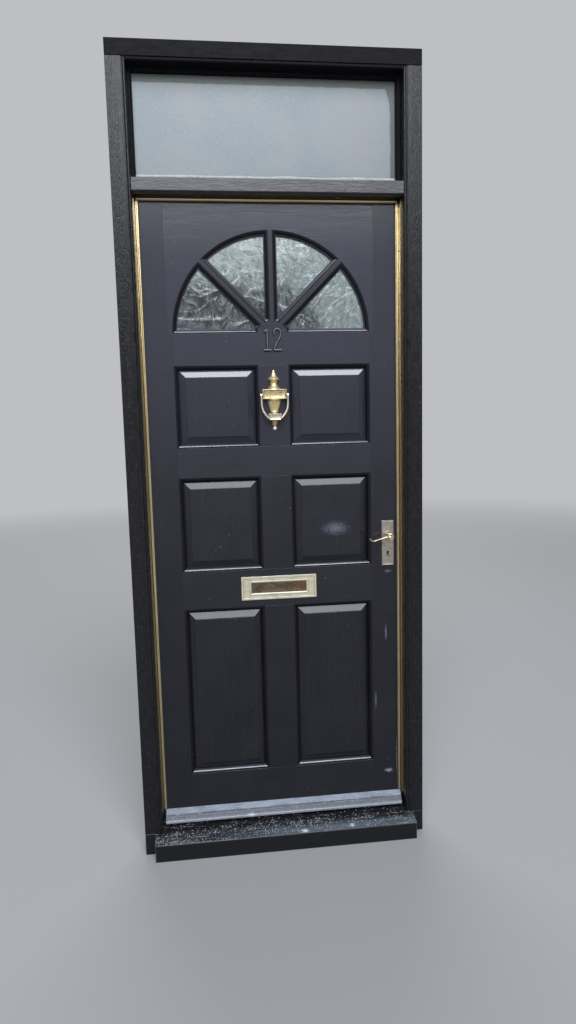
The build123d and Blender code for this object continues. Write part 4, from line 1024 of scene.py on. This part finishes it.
bm = bmesh.new()
half_turned(bm, finial_profile, 48)
half_turned(bm, bowl_profile, 176)
knob = bmesh.new()
bmesh.ops.create_uvsphere(knob, u_segments=24, v_segments=16, radius=knob_radius)
bmesh.ops.scale(knob, vec=(1, 1, knob_squash), verts=knob.verts)
sliced(knob, (0, 0, 0), (0, 1, 0))
bmesh.ops.translate(knob, vec=(0, 0, knocker_top - knob_drop), verts=knob.verts)
add_shape(bm, knob)
bar_corners = [(-bar_half, bar_foot), (bar_half, bar_foot), (bar_half, bar_top), (-bar_half, bar_top)]
framed_block(bm, bar_corners, -bar_front, 0.0, bar_rims, cast_softness)
urn = solid_piece("knocker_cast_urn", bm, "leaf", aged_brass, sharp=38)
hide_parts("knocker_urn")

striker_top = knocker_top - 0.136
striker_foot = knocker_top - 0.156
striker_depth = 0.009
striker_rims = [(0.0026, 0.0010)]
ring_pale = (0.74, 0.70, 0.62)
striker_brown = (0.56, 0.50, 0.37)
ring_dirt = (0.30, 0.20, 0.12)
ring_silver, shader, place = start_material("knocker_ring_pale_brass")
stains = noise_on(place, 150, 5, 0.68, 0.4)
dirt = most(in_hollow(place, 0.004, 0.9, 0.5), spread(stains, 0.62, 0.8))
on_striker = spread(axis(place, "Z"), striker_top + 0.004, striker_top)
feed(
    shader,
    Base_Color=blend(dirt, blend(on_striker, ring_pale, striker_brown), ring_dirt),
    Metallic=1.0,
    Roughness=spread(stains, 0.3, 0.7, 0.24, 0.40),
    Normal=raised(stains, 0.0003, soft_edges(place, 0.0008)),
)

ring_low, ring_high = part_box("knocker_ring")
pivot_y = -0.013
pivot_z = 1.467
ear_inner = bar_half + 0.0004
arm_line = 0.5 * (ear_inner + ring_high.x)
arm_centre_y = -0.0215
arm_radius = 0.0034
arm_shape = [(0, 0.001), (0, -0.013), (0, -0.030), (0.0035, -0.048), (0.0125, -0.061), (0.0215, -0.0705)]
arm_swell = (0.86, 0.90, 1.0, 1.12, 1.25, 1.35)
ear_profile = [
    (2.65, 0.0), (7.2, 0.0), (7.9, 0.7), (8.0, 1.6), (8.0, 5.4), (7.9, 6.3), (7.2, 7.0), (3.3, 7.0),
    (2.65, 6.5), (2.65, 0.0),
]
bm = bmesh.new()
for side in (-1, 1):
    arm = [(side * (arm_line - inward), pivot_z + rise) for inward, rise in arm_shape]
    drawn_rod(bm, arm, arm_swell, arm_radius, 1.0, arm_centre_y)
    turned(bm, in_metres(ear_profile), (side * ear_inner, pivot_y, pivot_z), (side, 0, 0), 28)
striker = [(-0.018, striker_foot), (0.018, striker_foot), (0.021, striker_top), (-0.021, striker_top)]
framed_block(bm, striker, ring_low.y, ring_low.y + striker_depth, striker_rims, cast_softness)
ring = solid_piece("knocker_cast_ring", bm, "knocker_ring", ring_silver, sharp=38)
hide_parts("knocker_ring")


# Lock: a mortice sash lock in the stile, with its forend flush in the edge, a plate and a
# scroll lever on each face over one square spindle, and a keep let into the jamb. The brass
# of the plates has gone dull and spotted, the levers are worn brighter.
handle_green = (0.42, 0.42, 0.34)
handle_pink = (0.50, 0.42, 0.38)
handle_stain = (0.22, 0.20, 0.15)
handle_spot = (0.12, 0.12, 0.08)
handle_rubbed = (0.68, 0.66, 0.60)
plate_brass, shader, place = start_material("handle_plate_spotted_brass")
stains = noise_on(place, 110, 5, 0.70, 0.6)
spots = noise_on(place, 620, 3, 0.75)
rounded = soft_edges(place, 0.0008)
dull = blend(spread(noise_on(place, 52, 3, 0.6), 0.40, 0.60), handle_green, handle_pink)
dull = blend(spread(stains, 0.45, 0.72), dull, handle_stain)
dull = blend(spread(spots, 0.62, 0.74), dull, handle_spot)
feed(
    shader,
    Base_Color=blend(worn_edge(rounded, 0.90), dull, handle_rubbed),
    Metallic=1.0,
    Roughness=spread(stains, 0.3, 0.7, 0.28, 0.48),
    Normal=raised(stains * 0.7 + spots * 0.3, 0.0003, rounded),
)
for name in ("outside_handle_plate", "inside_handle_plate"):
    dress(name, plate_brass)

lever_bright = (0.58, 0.49, 0.34)
lever_stain = (0.26, 0.19, 0.10)
lever_brass, shader, place = start_material("lever_rubbed_brass")
stains = noise_on(place, 140, 5, 0.66, 0.5)
feed(
    shader,
    Base_Color=blend(spread(stains, 0.42, 0.74), lever_bright, lever_stain),
    Metallic=1.0,
    Roughness=spread(stains, 0.3, 0.7, 0.22, 0.40),
    Normal=raised(stains, 0.0003, soft_edges(place, 0.0008)),
)

spindle_low, spindle_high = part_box("spindle")
spindle = (spindle_low + spindle_high) / 2
door_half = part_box("lock_stile")[1].y / 2
neck_start = 0.005
lever_start = 0.031
lever_width = 0.015
lever_half_height = 0.0035
lever_line = [
    (0.000, 0.0000), (-0.010, -0.0005), (-0.022, -0.0030), (-0.038, -0.0078), (-0.050, -0.0116),
    (-0.060, -0.0132), (-0.0675, -0.0088), (-0.0692, -0.0022),
]
lever_swell = [1.15, 1.10, 0.98, 0.88, 0.86, 0.92, 1.00, 0.80]
lever_flatness = lever_width / 2 / lever_half_height / lever_swell[0]
boss_profile = [
    (0.0, -0.4), (10.0, -0.4), (10.5, 0.0), (10.5, 1.6), (9.9, 2.6), (9.9, 11.4), (10.5, 12.4),
    (10.5, 14.4), (9.8, 15.0), (7.4, 15.0), (6.9, 14.3), (0.0, 14.3),
]
neck_profile = [
    (0, 0.0), (8.4, 0.0), (8.5, 0.4), (8.5, 18.0), (7.8, 20.0), (7.5, 24.0), (8.2, 26.0), (8.5, 27.0),
    (0, 27.0),
]
for name, out in (("outside_lever", -1), ("inside_lever", 1)):
    face_y = spindle.y + out * door_half
    line = [(spindle.x + x, spindle.z + z) for x, z in lever_line]
    arm_y = face_y + out * (lever_start + lever_width / 2)
    bm = bmesh.new()
    drawn_rod(bm, line, lever_swell, lever_half_height, lever_flatness, arm_y)
    for profile, start in ((boss_profile, lever_start), (neck_profile, neck_start)):
        turned(bm, in_metres(profile), (spindle.x, face_y + out * start, spindle.z), (0, out, 0), 40)
    new_name = name.replace("lever", "scroll_lever")
    lever = solid_piece(new_name, bm, "handle", lever_brass, sharp=45)
    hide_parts(name)

steel_dull = (0.40, 0.40, 0.38)
steel_bright = (0.58, 0.57, 0.53)
steel_rust = (0.20, 0.12, 0.07)
lock_steel, shader, place = start_material("lock_plated_steel")
spangle = noise_on(place, 300, 4, 0.66)
rust = spread(noise_on(place, 70, 5, 0.7), 0.60, 0.74)
feed(
    shader,
    Base_Color=blend(rust, blend(spangle, steel_dull, steel_bright), steel_rust),
    Metallic=1.0,
    Roughness=spread(spangle, 0.3, 0.7, 0.28, 0.45),
    Normal=raised(spangle, 0.0001, soft_edges(place, 0.0005)),
)
for name in ("lock_case", "spindle", "follower", "latch_bolt", "dead_bolt", "keep_plate"):
    dress(name, lock_steel)


def slotted_screw(bm, place, aim, radius, twist):
    """Add a countersunk screw head, just proud of its plate, with a slot across it."""
    head = bmesh.new()
    bmesh.ops.create_circle(head, cap_ends=True, segments=24, radius=radius)
    rim = [edge for edge in head.edges if edge.is_boundary]
    wall = bmesh.ops.extrude_edge_only(head, edges=rim)
    lowered = [item for item in wall["geom"] if isinstance(item, bmesh.types.BMVert)]
    bmesh.ops.translate(head, vec=(0, 0, -radius * 0.35), verts=lowered)
    bmesh.ops.contextual_create(head, geom=[edge for edge in head.edges if edge.is_boundary])
    top = max(head.faces, key=lambda face: face.calc_center_median().z)
    bmesh.ops.inset_region(head, faces=[top], thickness=radius * 0.14, depth=0)
    half_slot = radius * 0.13
    for offset in (-half_slot, half_slot):
        level = [face for face in head.faces if face.calc_center_median().z > -1e-6 and len(face.verts) > 4]
        parts = level + list({edge for face in level for edge in face.edges})
        parts += list({vertex for face in level for vertex in face.verts})
        bmesh.ops.bisect_plane(head, geom=parts, plane_co=(0, offset, 0), plane_no=(0, 1, 0))
    strip = [
        face for face in head.faces
        if face.calc_center_median().z > -1e-6 and abs(face.calc_center_median().y) < half_slot * 0.5
        and face.calc_area() > radius * radius * 0.2
    ]
    pushed_out(head, strip, (0, 0, -radius * 0.22))
    bmesh.ops.delete(head, geom=strip, context="FACES")
    spin = Matrix.Rotation(twist, 4, "Z")
    bmesh.ops.transform(head, matrix=set_on(place, aim) @ spin, verts=head.verts)
    add_shape(bm, head)


plate_low, plate_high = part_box("outside_handle_plate")
plate_screw_radius = 0.0028
plate_screw_in_x = 0.0075
plate_screw_in_z = 0.0085
plate_screw_rise = 0.0045
twist = 0.4
bm = bmesh.new()
for side in (-1, 1):
    for z in (plate_low.z + plate_screw_in_z, plate_high.z - plate_screw_in_z):
        for out in (-1, 1):
            x = spindle.x + side * ((plate_high.x - plate_low.x) / 2 - plate_screw_in_x)
            y = spindle.y + out * (door_half + plate_screw_rise)
            slotted_screw(bm, (x, y, z), (0, out, 0), plate_screw_radius, twist)
            twist += 1.1
solid_piece("handle_plate_screws", bm, "leaf", lever_brass, sharp=30)

lock_low, lock_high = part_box("lock_case")
keep_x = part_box("keep_plate")[0].x
forend_screw_radius = 0.0034
keep_screw_radius = 0.0036
forend_screw_in = 0.0095
screw_proud = 0.0002
bm = bmesh.new()
keep = bmesh.new()
for z in (lock_low.z + forend_screw_in, lock_high.z - forend_screw_in):
    slotted_screw(bm, (lock_high.x + screw_proud, spindle.y, z), (1, 0, 0), forend_screw_radius, 0.7)
    slotted_screw(keep, (keep_x - screw_proud, spindle.y, z), (-1, 0, 0), keep_screw_radius, 1.3)
solid_piece("forend_screws", bm, "leaf", lock_steel, sharp=30)
solid_piece("keep_screws", keep, "frame", lock_steel, sharp=30)


# Hinges: three pressed steel butts, let flush into the edge of the leaf and into the jamb and
# screwed to both. Paint has been carried over the knuckles on the side that shows.
hinge_black = (0.014, 0.014, 0.016)
hinge_bare = (0.42, 0.41, 0.38)
hinge_steel, shader, place = start_material("hinge_painted_steel")
flaking = noise_on(place, 210, 5, 0.7)
bare = spread(flaking, 0.50, 0.56)
feed(
    shader,
    Base_Color=blend(bare, hinge_black, hinge_bare),
    Metallic=bare,
    Roughness=spread(flaking, 0.3, 0.7, 0.30, 0.50),
    Normal=raised(flaking, 0.0003, soft_edges(place, 0.0006)),
)
for name in ("hinge_frame_leaves", "hinge_door_leaves", "hinge_pins"):
    dress(name, hinge_steel)

hinges_low, hinges_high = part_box("hinge_door_leaves")
hinge_half = 0.050
highest = hinges_high.z - hinge_half
lowest = hinges_low.z + hinge_half
hinge_screws = ((-0.036, 0.021), (-0.012, 0.033), (0.012, 0.021), (0.036, 0.033))
hinge_screw_radius = 0.0038
leaf_plate_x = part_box("hinge_stile")[0].x - screw_proud
jamb_plate_x = -keep_x + screw_proud
twist = 0.2
on_leaf = bmesh.new()
on_jamb = bmesh.new()
for centre in (highest, (highest + lowest) / 2, lowest):
    for level, y in hinge_screws:
        slotted_screw(on_leaf, (leaf_plate_x, y, centre + level), (-1, 0, 0), hinge_screw_radius, twist)
        slotted_screw(on_jamb, (jamb_plate_x, y, centre + level), (1, 0, 0), hinge_screw_radius, twist + 1)
        twist += 0.9
solid_piece("hinge_leaf_screws", on_leaf, "leaf", lock_steel, sharp=30)
solid_piece("hinge_jamb_screws", on_jamb, "frame", lock_steel, sharp=30)


# Studio: the camera stands in front of the door, a little to the left and below the toplight.
# One large soft lamp hangs high in front, as an overcast sky does, with a weaker one behind
# the door. The plain floor fades into surroundings of the same pale tint.
camera_place = Vector((-0.228, -2.248, 1.385))
camera_yaw = radians(6.68)
camera_pitch = radians(-7.25)
camera_roll = radians(-1.409)
camera_lens = 24.96
level_reach = cos(camera_pitch)
forward = Vector((sin(camera_yaw) * level_reach, cos(camera_yaw) * level_reach, sin(camera_pitch)))
level_right = Vector((cos(camera_yaw), -sin(camera_yaw), 0))
level_up = level_right.cross(forward)
right = level_right * cos(camera_roll) + level_up * sin(camera_roll)
up = level_up * cos(camera_roll) - level_right * sin(camera_roll)
camera = bpy.data.objects.new("camera", bpy.data.cameras.new("camera"))
camera.data.lens = camera_lens
camera.matrix_world = Matrix.Translation(camera_place) @ Matrix((right, up, -forward)).transposed().to_4x4()
bpy.context.collection.objects.link(camera)
bpy.context.scene.camera = camera
bpy.context.scene.view_settings.view_transform = "Standard"


def soft_lamp(name, place, aim, width, height, watts, colour):
    """A soft box that lights the object and shows in its gloss, but not in the picture itself."""
    lamp = bpy.data.objects.new(name, bpy.data.lights.new(name, "AREA"))
    lamp.data.shape = "RECTANGLE"
    lamp.data.size = width
    lamp.data.size_y = height
    lamp.data.energy = watts
    lamp.data.color = colour
    lamp.location = place
    lamp.rotation_euler = (Vector(aim) - Vector(place)).to_track_quat("-Z", "Y").to_euler()
    lamp.visible_camera = False
    bpy.context.collection.objects.link(lamp)


soft_lamp("sky_lamp", (0, -8.47, 8.70), (0, 0.33, 1.60), 8.0, 8.5, 1960, (0.91, 0.955, 1.0))
soft_lamp("back_lamp", (0, 7.0, 6.0), (0, 0, 1.2), 7.0, 4.0, 420, (1.0, 1.0, 1.0))


def seen_by_eye(tree):
    """1 for rays that show the surroundings themselves, in the picture, in gloss or through glass."""
    ray = tree.nodes.new("ShaderNodeLightPath").outputs
    shown = most(Value(ray["Is Camera Ray"]), Value(ray["Is Glossy Ray"]))
    return most(shown, Value(ray["Is Transmission Ray"]))


surroundings = 0.53
surroundings_tint = (0.97, 0.985, 1.0)
fill_light = 0.12
world = bpy.data.worlds.new("plain_surroundings")
bpy.context.scene.world = world
world.use_nodes = True
strength = spread(seen_by_eye(world.node_tree), 0, 1, fill_light, surroundings)
feed(world.node_tree.nodes["Background"], Color=surroundings_tint, Strength=strength)

floor_size = 60.0
floor_grey = (0.33, 0.335, 0.345)
sweep_start = 4.5
sweep_end = 11.0
floor_paint, shader, place = start_material("pale_floor")
feed(shader, Base_Color=floor_grey, Roughness=0.85)
far_off = place.node("ShaderNodeMapRange", Value=measured("DISTANCE", place, (0, 0, 0)))
feed(far_off, From_Min=sweep_start, From_Max=sweep_end)
far_off.interpolation_type = "SMOOTHSTEP"
faded = Value(far_off.outputs["Result"]) * seen_by_eye(floor_paint.node_tree)
backdrop = place.node("ShaderNodeEmission", Color=surroundings_tint, Strength=surroundings)
sweep = place.node("ShaderNodeMixShader")
for socket, value in zip(sweep.inputs, (faded, Value(shader.outputs[0]), Value(backdrop.outputs[0]))):
    join(socket, value)
feed(floor_paint.node_tree.nodes["Material Output"], Surface=Value(sweep.outputs[0]))
bm = bmesh.new()
bmesh.ops.create_grid(bm, x_segments=1, y_segments=1, size=floor_size / 2)
floor_mesh = bpy.data.meshes.new("floor")
bm.to_mesh(floor_mesh)
bm.free()
floor_mesh.materials.append(floor_paint)
floor = bpy.data.objects.new("floor", floor_mesh)
bpy.context.collection.objects.link(floor)
